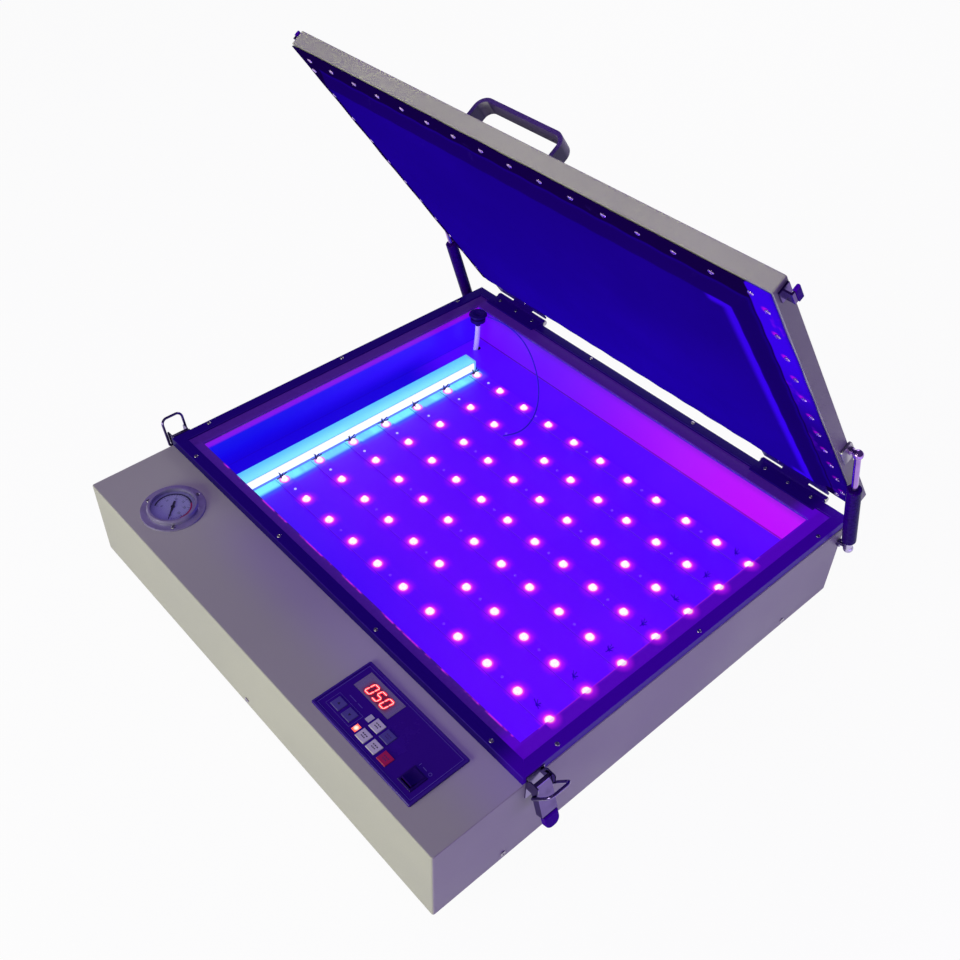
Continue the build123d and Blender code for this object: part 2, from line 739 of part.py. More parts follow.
bezel_radius = 33.5
bezel_rise = 8.0
dial_height = 3.0
gauge_flange = 2.0
gauge_spots = [
    (
        gauge_x + gauge_screw_circle / 2 * cos(radians(turn)),
        gauge_y + gauge_screw_circle / 2 * sin(radians(turn)),
    )
    for turn in (90, 210, 330)
]
with BuildPart() as gauge_case:
    with BuildSketch(section_at(gauge_x, gauge_y)):
        with BuildLine():
            Polyline(
                (0, deck - gauge_depth),
                (gauge_case_radius - 1, deck - gauge_depth),
                (gauge_case_radius, deck - gauge_depth + 1),
                (gauge_case_radius, deck),
                (gauge_flange_radius, deck),
                (gauge_flange_radius, deck + gauge_flange - 0.8),
                (gauge_flange_radius - 0.8, deck + gauge_flange),
                (bezel_radius, deck + gauge_flange),
                (bezel_radius, deck + bezel_rise - 2),
                (bezel_radius - 2, deck + bezel_rise),
                (gauge_case_radius - 1.0, deck + bezel_rise),
                (gauge_case_radius - 1.0, deck + dial_height - 1.0),
                (0, deck + dial_height - 1.0),
                close=True,
            )
        make_face()
    revolve(axis=Axis((gauge_x, gauge_y, 0), (0, 0, 1)))
    # hose barb at the back
    with BuildSketch(Plane.XY.offset(deck - gauge_depth)):
        with Locations((gauge_x, gauge_y)):
            Circle(gauge_hose_radius)
    extrude(amount=-gauge_barb)
    with BuildSketch(Plane.XY.offset(deck + gauge_flange)):
        with Locations(*gauge_spots):
            Circle(frame_screw_radius + 0.1)
    extrude(amount=-gauge_flange, mode=Mode.SUBTRACT)
save("gauge_case", gauge_case.part)

dial_radius = gauge_case_radius - 1.0 - 0.2
with BuildPart() as gauge_dial:
    with BuildSketch(Plane.XY.offset(deck + dial_height - 1.0)):
        with Locations((gauge_x, gauge_y)):
            Circle(dial_radius)
            Circle(1.0, mode=Mode.SUBTRACT)
    extrude(amount=1.0)
save("gauge_dial", gauge_dial.part)

lens_thickness = 1.6
with BuildPart() as gauge_lens:
    with BuildSketch(Plane.XY.offset(deck + bezel_rise - lens_thickness)):
        with Locations((gauge_x, gauge_y)):
            Circle(dial_radius)
    extrude(amount=lens_thickness)
save("gauge_lens", gauge_lens.part)

needle_zero = -45.0
needle_long = 22.0
needle_tail = 10.0
needle_z = deck + dial_height + 0.5
needle_plane = turned(Plane(origin=(gauge_x, gauge_y, needle_z)), needle_zero)
with BuildPart() as gauge_needle:
    with BuildSketch(needle_plane):
        with BuildLine():
            Polyline(
                (-needle_tail, -1.3),
                (0, -1.5),
                (needle_long, -0.3),
                (needle_long, 0.3),
                (0, 1.5),
                (-needle_tail, 1.3),
                close=True,
            )
        make_face()
        Circle(2.6)
    extrude(amount=0.6)
    with BuildSketch(needle_plane):
        Circle(1.0 - running)
    extrude(amount=-1.3)
save("gauge_needle", gauge_needle.part)

# pan-head screws of the frame, of the hinge leaves on it and of the gauge
frame_screw = pan_head_screw(2.9, 1.2, frame_screw_radius, 4.6)
leaf_screw = pan_head_screw(2.9, 1.2, frame_screw_radius, leaf_thickness + 4.6)
gauge_screw = pan_head_screw(2.9, 1.2, frame_screw_radius, gauge_flange)
with BuildPart() as pan_head_screws:
    with Locations(*[(x, y, frame_top) for x, y in frame_screw_spots]):
        add(frame_screw)
    with Locations(*[(x, y, frame_top + leaf_thickness) for x, y in leaf_screw_spots]):
        add(leaf_screw)
    with Locations(*[(x, y, deck + gauge_flange) for x, y in gauge_spots]):
        add(gauge_screw)
save("pan_head_screws", pan_head_screws.part)

# =====================================================================
# Control panel
# =====================================================================

display_x, display_y = panel_x - 41.5, panel_y + 20.0
display_width, display_depth = 61.0, 26.0
digits_width, digits_depth = 40.0, 20.0
rocker_x, rocker_y = panel_x + 62.5, panel_y - 18.6
rocker_width, rocker_depth = 15.0, 19.0
switch_width, switch_depth = 21.0, 24.0
row_rear, row_front = panel_y - 6.6, panel_y - 25.0
key_places = {
    "key_up": (panel_x - 61.9, panel_y - 20.4),
    "key_down": (panel_x - 42.7, panel_y - 20.4),
    "key_vacuum": (panel_x - 11.5, row_rear),
    "key_expose": (panel_x - 11.5, row_front),
    "key_set": (panel_x + 6.5, row_rear),
    "key_start": (panel_x + 6.5, row_front),
    "key_stop": (panel_x + 25.3, row_front),
}
lens_places = [(panel_x - 24.7, row_rear), (panel_x - 24.7, row_front)]
lens_width, lens_depth = 6.5, 9.0
panel_top = deck + panel_plate

with BuildPart() as control_panel:
    with BuildSketch(Plane.XY.offset(deck)) as panel_outline:
        with Locations((panel_x, panel_y)):
            Rectangle(panel_width, panel_depth)
        fillet(panel_outline.vertices(), 2.0)
    extrude(amount=panel_rise)
    chamfer(control_panel.faces().sort_by(Axis.Z)[-1].edges(), 0.8)
    with BuildSketch(Plane.XY.offset(panel_top)):
        with Locations((panel_x, panel_y)):
            Rectangle(panel_width - 2 * panel_rim, panel_depth - 2 * panel_rim)
    extrude(amount=panel_rise - panel_plate, mode=Mode.SUBTRACT)
    with BuildSketch(Plane.XY.offset(deck)):
        with Locations((display_x, display_y)):
            Rectangle(display_width, display_depth)
        with Locations((rocker_x, rocker_y)):
            Rectangle(switch_width - 3, switch_depth - 3)
        with Locations(*key_places.values()):
            Rectangle(key_width + 2 * fit, key_depth + 2 * fit)
        with Locations(*lens_places):
            Rectangle(lens_width, lens_depth)
    extrude(amount=panel_plate, mode=Mode.SUBTRACT)
save("control_panel", control_panel.part)

with BuildPart() as display_window:
    with BuildSketch(Plane.XY.offset(deck)):
        with Locations((display_x, display_y)):
            Rectangle(display_width - 2 * fit, display_depth - 2 * fit)
    extrude(amount=panel_plate + 0.2)
save("display_window", display_window.part)

board_drop = 9.0
board_x = panel_x - 18.0
standoff_spots = [(board_x + x, panel_y + y) for x in (-57.5, 57.5) for y in (-29.0, 29.0)]
with BuildPart() as control_board:
    with BuildSketch(Plane.XY.offset(deck - board_drop - 1.6)):
        with Locations((board_x, panel_y)):
            Rectangle(123.0, 66.0)
    extrude(amount=1.6)
    # switch under each key, digit module under the window, stand-offs up to the panel
    with BuildSketch(Plane.XY.offset(deck - board_drop)):
        with Locations(*key_places.values()):
            Rectangle(6.0, 6.0)
    extrude(amount=board_drop - 1.0 - key_travel - 0.2)
    with BuildSketch(Plane.XY.offset(deck - board_drop)):
        with Locations((display_x, display_y)):
            Rectangle(digits_width, digits_depth)
    extrude(amount=board_drop - 0.5)
    with BuildSketch(Plane.XY.offset(deck - board_drop)):
        with Locations(*standoff_spots):
            RegularPolygon(3.0, 6)
    extrude(amount=board_drop)
save("control_board", control_board.part)

with BuildPart() as indicator_lenses:
    with BuildSketch(Plane.XY.offset(deck)):
        with Locations(*lens_places):
            Rectangle(lens_width - 0.1, lens_depth - 0.1)
    extrude(amount=panel_plate + 0.5)
save("indicator_lenses", indicator_lenses.part)

for name, (x, y) in key_places.items():
    with BuildPart() as key:
        with BuildSketch(Plane.XY.offset(deck)):
            with Locations((x, y)):
                Rectangle(key_width, key_depth)
        extrude(amount=panel_plate + key_stand)
        chamfer(key.faces().sort_by(Axis.Z)[-1].edges(), 0.4)
        with BuildSketch(Plane.XY.offset(deck - 0.05)):
            with Locations((x, y)):
                Rectangle(key_width + 2.0, key_depth + 2.0)
        extrude(amount=-0.9)
    save(name, key.part)

# power switch: fixed body and a rocker that tips about the X axis
rocker_pivot_z = deck + 1.2
rocker_tip = 11.0
rocker_pin = 1.2
rocker_pivot = Plane(origin=(rocker_x, rocker_y, rocker_pivot_z), x_dir=(0, 1, 0), z_dir=(1, 0, 0))
with BuildPart() as power_switch_body:
    with BuildSketch(Plane.XY.offset(panel_top)):
        with Locations((rocker_x, rocker_y)):
            Rectangle(switch_width, switch_depth)
    extrude(amount=1.6)
    chamfer(power_switch_body.faces().sort_by(Axis.Z)[-1].edges(), 0.6)
    with BuildSketch(Plane.XY.offset(panel_top)):
        with Locations((rocker_x, rocker_y)):
            Rectangle(switch_width - 3.4, switch_depth - 3.4)
    extrude(amount=-17.0)
    with BuildSketch(Plane.XY.offset(panel_top + 1.6)):
        with Locations((rocker_x, rocker_y)):
            Rectangle(rocker_width + 2 * fit, rocker_depth + 2 * fit)
    extrude(amount=-12.0, mode=Mode.SUBTRACT)
    with BuildSketch(rocker_pivot):
        Circle(rocker_pin + running)
    extrude(amount=rocker_width / 2 + 0.8, both=True, mode=Mode.SUBTRACT)
save("power_switch_body", power_switch_body.part)

rocker_section = turned(rocker_pivot, -rocker_tip)
rocker_half = rocker_depth / 2 - 0.6
with BuildPart() as power_switch_rocker:
    with BuildSketch(rocker_section):
        with BuildLine():
            Line((-rocker_half, 4.4), (-rocker_half + 1.2, -1.5))
            Line((-rocker_half + 1.2, -1.5), (0, -5.0))
            Line((0, -5.0), (rocker_half - 1.2, -1.5))
            Line((rocker_half - 1.2, -1.5), (rocker_half, 4.4))
            ThreePointArc((rocker_half, 4.4), (0, 2.6), (-rocker_half, 4.4))
        make_face()
    extrude(amount=rocker_width / 2, both=True)
    with BuildSketch(rocker_pivot):
        Circle(rocker_pin)
    extrude(amount=rocker_width / 2 + 0.7, both=True)
save("power_switch_rocker", power_switch_rocker.part)

# =====================================================================
# Lid
# =====================================================================

lid_top = lid_gap + lid_wall
front_row_y = lid_front + lid_screw_front
rear_row_y = lid_rear - lid_screw_rear
side_mid_y = (front_row_y + rear_row_y) / 2
border_screw_spots = []
lid_leaf_screw_spots = []
for n in range(lid_screw_columns):
    x = (n - (lid_screw_columns - 1) / 2) * lid_screw_pitch_x
    border_screw_spots.append((x, front_row_y))
    if abs(abs(x) - hinge_centre) < hinge_length / 2:
        lid_leaf_screw_spots.append((x, rear_row_y))
    else:
        border_screw_spots.append((x, rear_row_y))
for n in range(lid_screw_rows):
    y = side_mid_y + (n - (lid_screw_rows - 1) / 2) * lid_screw_pitch_y
    for side in (-1, 1):
        border_screw_spots.append((side * (lid_side - lid_screw_side), y))
lid_screw_spots = border_screw_spots + lid_leaf_screw_spots
lid_screw_radius = 1.6
lid_screw_head = 1.8
lid_corner_radius = 3.0

with BuildPart() as lid_shell:
    with BuildSketch(on_lid(lid_gap)) as lid_outline:
        with Locations((0, lid_mid)):
            Rectangle(lid_width, lid_depth)
        fillet(lid_outline.vertices(), lid_corner_radius)
    extrude(amount=lid_wall)
    lid_top_face = lid_shell.faces().sort_by(Axis(lid_plane.origin, lid_plane.z_dir))[-1]
    fillet(lid_top_face.edges(), sheet)
    with BuildSketch(on_lid(lid_gap + sheet)):
        with Locations((0, lid_mid)):
            Rectangle(lid_width - 2 * sheet, lid_depth - 2 * sheet)
    extrude(amount=lid_wall - 2 * sheet, mode=Mode.SUBTRACT)
    with BuildSketch(on_lid(lid_gap)):
        with Locations((0, lid_mid)):
            Rectangle(lid_width - 2 * lid_lip, lid_depth - 2 * lid_lip)
        with Locations(*lid_screw_spots):
            RegularPolygon(lid_screw_radius + 0.25, 6)
    extrude(amount=sheet, mode=Mode.SUBTRACT)
save("lid_shell", lid_shell.part)

dish_width = blanket_width - 2 * blanket_border
dish_depth = blanket_depth - 2 * blanket_border
with BuildPart() as rubber_blanket:
    with BuildSketch(on_lid(blanket_under)):
        with Locations((0, lid_mid)):
            Rectangle(blanket_width, blanket_depth)
    extrude(amount=blanket_thickness)
    # the middle of the sheet stands down towards the glass on a sloping border
    for shrink, mode in ((0.0, Mode.ADD), (blanket_thickness, Mode.SUBTRACT)):
        wide = 2 * shrink
        narrow = 2 * (blanket_slope + shrink)
        with BuildSketch(on_lid(blanket_under + shrink)):
            with Locations((0, lid_mid)):
                Rectangle(dish_width - wide, dish_depth - wide)
        with BuildSketch(on_lid(blanket_under - blanket_drop + shrink)):
            with Locations((0, lid_mid)):
                Rectangle(dish_width - narrow, dish_depth - narrow)
        loft(mode=mode)
    with BuildSketch(on_lid(blanket_under)):
        with Locations(*lid_screw_spots):
            RegularPolygon(lid_screw_radius + 0.25, 6)
    extrude(amount=blanket_thickness, mode=Mode.SUBTRACT)
save("rubber_blanket", rubber_blanket.part)

with BuildPart() as lid_screws:
    for spots, seat in ((border_screw_spots, blanket_under), (lid_leaf_screw_spots, leaf_under)):
        with BuildSketch(on_lid(seat)):
            with Locations(*spots):
                RegularPolygon(3.4, 8)
        extrude(amount=-lid_screw_head, taper=20)
        with BuildSketch(on_lid(seat)):
            with Locations(*spots):
                RegularPolygon(lid_screw_radius, 6)
        extrude(amount=lid_gap + sheet + 1.0 - seat)
save("lid_screws", lid_screws.part)

# Handle on top of the lid near its front edge: a thick bent strap with rounded corners
handle_span = 128.0
handle_rise = 30.0
handle_thickness = 5.0
handle_strap = 21.0
handle_setback = 10.0
handle_bend = 15.0
handle_section = Plane(
    origin=lid_plane.from_local_coords((0, lid_front + handle_setback, lid_top)),
    x_dir=(1, 0, 0),
    z_dir=lid_plane.y_dir * -1,
)
with BuildPart() as lid_handle:
    with BuildSketch(handle_section):
        RectangleRounded(handle_span, 2 * handle_rise, handle_bend)
        RectangleRounded(
            handle_span - 2 * handle_thickness,
            2 * (handle_rise - handle_thickness),
            handle_bend - handle_thickness,
            mode=Mode.SUBTRACT,
        )
        with Locations((0, -handle_rise)):
            Rectangle(2 * handle_span, 2 * handle_rise, mode=Mode.SUBTRACT)
    extrude(amount=-handle_strap)
save("lid_handle", lid_handle.part)


def lid_section(side, y):
    """Cross-section plane of the lid: local X points out of one side, local Y up from the hinge."""
    return Plane(
        origin=lid_plane.from_local_coords((0, y, 0)),
        x_dir=(side, 0, 0),
        z_dir=lid_plane.y_dir * -side,
    )


# =====================================================================
# Hinges
# =====================================================================

knuckle_gap = 0.3
leaf_start = knuckle_radius + 0.5
knuckle_side = hinge_length / 2 - hinge_knuckle / 2 - knuckle_gap
hinge_section = Plane(origin=(0, hinge_y, hinge_z), x_dir=(0, 1, 0), z_dir=(1, 0, 0))
with BuildPart() as frame_hinge_leaves:
    for centre in (-hinge_centre, hinge_centre):
        start = hinge_section.offset(centre - hinge_length / 2)
        with BuildSketch(start):
            with Locations((-leaf_start - leaf_width / 2, leaf_thickness / 2)):
                Rectangle(leaf_width, leaf_thickness)
        extrude(amount=hinge_length)
        for offset in (0, hinge_length - knuckle_side):
            with BuildSketch(start.offset(offset)):
                Circle(knuckle_radius)
                with Locations((-leaf_start / 2 - 1.0, leaf_thickness / 2)):
                    Rectangle(leaf_start + 2.0, leaf_thickness)
                Circle(pin_radius + running, mode=Mode.SUBTRACT)
            extrude(amount=knuckle_side)
    with BuildSketch(Plane.XY.offset(frame_top)):
        with Locations(*leaf_screw_spots):
            Circle(frame_screw_radius + 0.1)
    extrude(amount=leaf_thickness, mode=Mode.SUBTRACT)
save("frame_hinge_leaves", frame_hinge_leaves.part)

lid_leaf_reach = 39.0
with BuildPart() as lid_hinge_leaves:
    for centre in (-hinge_centre, hinge_centre):
        with BuildSketch(on_lid(leaf_under)):
            with Locations((centre, -(lid_leaf_reach + knuckle_radius) / 2)):
                Rectangle(hinge_length, lid_leaf_reach - knuckle_radius)
        extrude(amount=leaf_thickness)
        middle = Plane(
            origin=lid_plane.from_local_coords((centre - hinge_knuckle / 2 + knuckle_gap, 0, 0)),
            x_dir=lid_plane.y_dir,
            z_dir=(1, 0, 0),
        )
        with BuildSketch(middle):
            Circle(knuckle_radius)
            with Locations((-knuckle_radius + leaf_thickness / 2, blanket_under / 2)):
                Rectangle(leaf_thickness, blanket_under)
            Circle(pin_radius + running, mode=Mode.SUBTRACT)
        extrude(amount=hinge_knuckle - 2 * knuckle_gap)
    with BuildSketch(on_lid(leaf_under)):
        with Locations(*lid_leaf_screw_spots):
            RegularPolygon(lid_screw_radius + 0.25, 6)
    extrude(amount=leaf_thickness, mode=Mode.SUBTRACT)
save("lid_hinge_leaves", lid_hinge_leaves.part)

with BuildPart() as hinge_pins:
    for centre in (-hinge_centre, hinge_centre):
        with BuildSketch(hinge_section.offset(centre)):
            Circle(pin_radius)
        extrude(amount=hinge_length / 2, both=True)
        for side in (-1, 1):
            with BuildSketch(hinge_section.offset(centre + side * hinge_length / 2)):
                Circle(knuckle_radius - 0.8)
            extrude(amount=side * 1.5)
save("hinge_pins", hinge_pins.part)

# =====================================================================
# Gas struts
# =====================================================================

strut_bore = 7.0
piston_place = 118.0
piston_length = 6.0
gland = 6.0
neck = 20.0
bracket_plate = 3.0
stud_gap = 0.3
bracket_face = lid_side + bracket_plate
foot_z = deck - strut_foot_drop
lid_ball_y = lid_rear - strut_lid_reach
lid_ball_z = lid_gap + strut_lid_height

socket_radius = stud_ball_radius + running
socket_mouth = stud_ball_radius - 0.8
socket_depth = (socket_radius**2 - socket_mouth**2) ** 0.5
stud_neck = 2.5
stud_reach = strut_x - wall_right
neck_end = stud_reach - (stud_ball_radius**2 - stud_neck**2) ** 0.5
with BuildPart() as strut_studs:
    for side in (-1, 1):
        wall = (side * wall_right, strut_foot_y, foot_z)
        with BuildSketch(Plane(origin=wall, x_dir=(side, 0, 0), z_dir=(0, -side, 0))):
            with BuildLine():
                Polyline(
                    (stud_reach + stud_ball_radius, 0),
                    (0, 0),
                    (0, 3.8),
                    (1.0, 3.8),
                    (1.0, 5.5),
                    (4.5, 5.5),
                    (4.5, stud_neck),
                    (neck_end, stud_neck),
                )
                ThreePointArc(
                    (neck_end, stud_neck),
                    (stud_reach, stud_ball_radius),
                    (stud_reach + stud_ball_radius, 0),
                )
            make_face()
        revolve(axis=Axis(wall, (1, 0, 0)))
save("strut_studs", strut_studs.part)

with BuildPart() as lid_strut_brackets:
    for side in (-1, 1):
        plate = Plane(
            origin=lid_plane.from_local_coords((side * lid_side, lid_ball_y, lid_ball_z)),
            x_dir=lid_plane.y_dir,
            z_dir=(side, 0, 0),
        )
        plate_up = side * (-4.5)
        with BuildSketch(plate):
            with Locations((0, plate_up)):
                RectangleRounded(34.0, 20.0, 4.0)
        extrude(amount=bracket_plate)
save("lid_strut_brackets", lid_strut_brackets.part)

for name, side in (("left", -1), ("right", 1)):
    foot = Vector(side * strut_x, strut_foot_y, foot_z)
    head = Vector(*lid_plane.from_local_coords((side * strut_x, lid_ball_y, lid_ball_z)))
    run = head - foot
    along = Plane(origin=foot, x_dir=(1, 0, 0), z_dir=run)
    with BuildPart() as strut_cylinder:
        with BuildSketch(along.offset(stud_ball_radius)):
            Circle(ball_radius - 1.5)
        extrude(amount=neck - stud_ball_radius)
        with BuildSketch(along.offset(neck)):
            Circle(cylinder_radius)
        extrude(amount=cylinder_length)
        chamfer(strut_cylinder.edges().filter_by(GeomType.CIRCLE).sort_by(SortBy.RADIUS)[-2:], 1.2)
        with Locations(foot):
            Sphere(ball_radius)
        with BuildSketch(along.offset(neck + gland)):
            Circle(strut_bore)
        extrude(amount=cylinder_length - 2 * gland, mode=Mode.SUBTRACT)
        with BuildSketch(along.offset(neck + cylinder_length - gland)):
            Circle(rod_radius + running)
        extrude(amount=gland, mode=Mode.SUBTRACT)
        # socket for the stud's ball, open towards the case
        with BuildSketch(Plane(origin=foot, x_dir=(side, 0, 0), z_dir=(0, -side, 0))):
            with BuildLine():
                Polyline(
                    (socket_radius, 0),
                    (-ball_radius - 1.0, 0),
                    (-ball_radius - 1.0, socket_mouth),
                    (-socket_depth, socket_mouth),
                )
                ThreePointArc((-socket_depth, socket_mouth), (0, socket_radius), (socket_radius, 0))
            make_face()
        revolve(axis=Axis(foot, (1, 0, 0)), mode=Mode.SUBTRACT)
    save(f"strut_cylinder_{name}", strut_cylinder.part)

    with BuildPart() as strut_rod:
        with BuildSketch(along.offset(piston_place)):
            Circle(strut_bore - running)
        extrude(amount=piston_length)
        with BuildSketch(along.offset(piston_place)):
            Circle(rod_radius)
        extrude(amount=run.length - piston_place)
        with Locations(head):
            Sphere(ball_radius)
        with BuildSketch(Plane(origin=head, z_dir=(-side, 0, 0))):
            Circle(3.0)
        extrude(amount=strut_x - bracket_face - stud_gap)
        with BuildSketch(Plane(origin=head, z_dir=(-side, 0, 0)).offset(strut_x - bracket_face - stud_gap - 2.0)):
            Circle(5.0)
        extrude(amount=2.0)
    save(f"strut_rod_{name}", strut_rod.part)

# =====================================================================
# Toggle latches and the keepers on the lid
# =====================================================================

latch_plate = 1.5
ear_thickness = 1.5
ear_low = 8.0
ear_high = 9.0
ear_reach = 18.0
latch_pin = 2.0
latch_pivot_z = deck + latch_pivot_rise
lever_sheet = 1.2
lever_half = 5.0
lever_channel = 42.0
tongue_width = 13.0
tongue_length = 14.0
grip_length = 17.5
grip_width = 20.0
grip_thickness = 8.0
lever_width = latch_width - 2 * (ear_thickness + lever_gap)
bail_side = latch_width / 2 + 0.4 + bail_wire
bail_foot = 6.2


def latch_section(side):
    """Cross-section plane of a latch: local X points away from the case, local Y up."""
    return Plane(
        origin=(side * latch_pivot_x, latch_y, latch_pivot_z),
        x_dir=(side, 0, 0),
        z_dir=(0, -side, 0),
    )


wall_offset = wall_right - latch_pivot_x
with BuildPart() as latch_bases:
    for side in (-1, 1):
        section = latch_section(side)
        with BuildSketch(section):
            with Locations((wall_offset + latch_plate / 2, -8.75)):
                Rectangle(latch_plate, 38.5)
        extrude(amount=latch_width / 2, both=True)
        with BuildSketch(section) as ears:
            with BuildLine():
                Polyline(
                    (wall_offset, -ear_low),
                    (wall_offset + ear_reach - 3.0, -ear_low),
                    (wall_offset + ear_reach, 0),
                    (wall_offset + ear_reach, ear_high),
                    (wall_offset + 6.0, ear_high),
                    (wall_offset, ear_high - 6.0),
                    close=True,
                )
            make_face()
            fillet(ears.vertices().group_by(Axis.X)[-1], 3.0)
        extrude(amount=latch_width / 2, both=True)
        with BuildSketch(section):
            with Locations((wall_offset + latch_plate + ear_reach / 2, 0.5)):
                Rectangle(ear_reach, 20.0)
        extrude(amount=latch_width / 2 - ear_thickness, both=True, mode=Mode.SUBTRACT)
        with BuildSketch(section):
            Circle(latch_pin)
        extrude(amount=latch_width / 2 + 0.1, both=True)
save("latch_bases", latch_bases.part)

for name, side in (("left", -1), ("right", 1)):
    section = latch_section(side)
    along = turned(section, lever_hang - 90)
    with BuildPart() as latch_lever:
        with BuildSketch(along) as lever_outline:
            with Locations(((lever_channel - lever_half) / 2, 0)):
                Rectangle(lever_channel + lever_half, 2 * lever_half)
            fillet(lever_outline.vertices().group_by(Axis.X)[0], 4.0)
        extrude(amount=lever_width / 2, both=True)
        with BuildSketch(along):
            with Locations((lever_channel / 2, -lever_sheet)):
                Rectangle(2 * lever_channel, 2 * lever_half)
        extrude(amount=lever_width / 2 - lever_sheet, both=True, mode=Mode.SUBTRACT)
        # tongue that the grip is pressed on
        with BuildSketch(along):
            with Locations((lever_channel + tongue_length / 2 - 1.0, lever_half - lever_sheet / 2)):
                Rectangle(tongue_length + 2.0, lever_sheet)
        extrude(amount=tongue_width / 2, both=True)
        with BuildSketch(along):
            Circle(latch_pin + running)
            with Locations((bail_offset, 0)):
                Circle(bail_wire + running)
        extrude(amount=lever_width, both=True, mode=Mode.SUBTRACT)
    save(f"latch_lever_{name}", latch_lever.part)

    with BuildPart() as latch_grip:
        # flat pad with a rounded end, drawn on the plane of the lever's face
        grip_base = Plane(
            origin=along.from_local_coords((lever_channel, lever_half + 2.0, 0)),
            x_dir=along.x_dir,
            z_dir=along.y_dir * -1,
        )
        with BuildSketch(grip_base) as grip_outline:
            with Locations((grip_length / 2, 0)):
                Rectangle(grip_length, grip_width)
            fillet(grip_outline.vertices().group_by(Axis.X)[-1], grip_width / 2 - 1.5)
        extrude(amount=grip_thickness)
        fillet(latch_grip.faces().sort_by(Axis(grip_base.origin, grip_base.z_dir))[0].edges(), 1.8)
        fillet(latch_grip.faces().sort_by(Axis(grip_base.origin, grip_base.z_dir))[-1].edges(), 1.8)
        with BuildSketch(along):
            with Locations((lever_channel + tongue_length / 2, lever_half - lever_sheet / 2)):
                Rectangle(tongue_length, lever_sheet)
        extrude(amount=tongue_width / 2, both=True, mode=Mode.SUBTRACT)
    save(f"latch_grip_{name}", latch_grip.part)

    turn = radians(bail_rest[name])
    pivot = along.from_local_coords((bail_offset, 0, 0))
    reach = Vector(side * cos(turn), 0, sin(turn)) * bail_reach
    span = Vector(0, bail_side, 0)
    inner = Vector(0, bail_side - bail_foot, 0)
    corners = [
        pivot + inner,
        pivot + span,
        pivot + span + reach,
        pivot - span + reach,
        pivot - span,
        pivot - inner,
    ]
    with BuildPart() as latch_bail:
        with BuildLine() as wire_path:
            FilletPolyline(*corners, radius=(2.4, 8.0, 8.0, 2.4))
        with BuildSketch(Plane(origin=corners[0], z_dir=(0, 1, 0))):
            Circle(bail_wire)
        sweep(path=wire_path.line)
    save(f"latch_bail_{name}", latch_bail.part)

keeper_y = latch_y - hinge_y
keeper_width = 16.0
keeper_sheet = 2.0
keeper_shelf = lid_gap + 8.2
keeper_reach = 12.0
keeper_tip = lid_gap + 17.0
cap_bottom = lid_gap + 12.5
cap_height = 7.0
with BuildPart() as lid_keepers:
    for side in (-1, 1):
        with BuildSketch(lid_section(side, keeper_y)):
            with BuildLine():
                Polyline(
                    (lid_side, lid_gap + 4.0),
                    (lid_side, lid_gap + 18.0),
                    (lid_side + keeper_sheet, lid_gap + 18.0),
                    (lid_side + keeper_sheet, keeper_shelf + keeper_sheet),
                    (lid_side + keeper_reach - keeper_sheet, keeper_shelf + keeper_sheet),
                    (lid_side + keeper_reach - keeper_sheet, keeper_tip),
                    (lid_side + keeper_reach, keeper_tip),
                    (lid_side + keeper_reach, keeper_shelf),
                    (lid_side + keeper_sheet, keeper_shelf),
                    (lid_side + keeper_sheet, lid_gap + 4.0),
                    close=True,
                )
            make_face()
        extrude(amount=keeper_width / 2, both=True)
save("lid_keepers", lid_keepers.part)

cap_wall = 1.0
with BuildPart() as keeper_caps:
    for side in (-1, 1):
        with BuildSketch(lid_section(side, keeper_y)) as cap_outline:
            with Locations((lid_side + keeper_reach - keeper_sheet / 2, cap_bottom + cap_height / 2)):
                Rectangle(keeper_sheet + 2 * cap_wall, cap_height)
            fillet(cap_outline.vertices().group_by(Axis.Y)[-1], 1.6)
        extrude(amount=keeper_width / 2 + cap_wall, both=True)
        with BuildSketch(lid_section(side, keeper_y)):
            with Locations((lid_side + keeper_reach - keeper_sheet / 2, (cap_bottom + keeper_tip) / 2)):
                Rectangle(keeper_sheet, keeper_tip - cap_bottom)
        extrude(amount=keeper_width / 2, both=True, mode=Mode.SUBTRACT)
save("keeper_caps", keeper_caps.part)

print("nodes", len(nodes))
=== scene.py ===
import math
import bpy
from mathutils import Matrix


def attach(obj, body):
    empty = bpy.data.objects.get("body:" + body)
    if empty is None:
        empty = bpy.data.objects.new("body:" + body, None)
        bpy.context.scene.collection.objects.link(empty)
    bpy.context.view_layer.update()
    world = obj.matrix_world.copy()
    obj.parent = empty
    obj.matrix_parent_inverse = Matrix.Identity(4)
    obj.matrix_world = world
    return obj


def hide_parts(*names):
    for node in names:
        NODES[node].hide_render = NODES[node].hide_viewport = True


bl_info = {
    "name": "Screen exposure unit",
    "version": (1, 0, 0),
    "blender": (4, 5, 0),
    "location": "3D View > Sidebar > Exposure",
    "description": "Dresses a vacuum exposure unit with its finishes, blanket, cords and marks",
    "category": "Object",
}

import bmesh
import bpy
from mathutils import Matrix, Vector

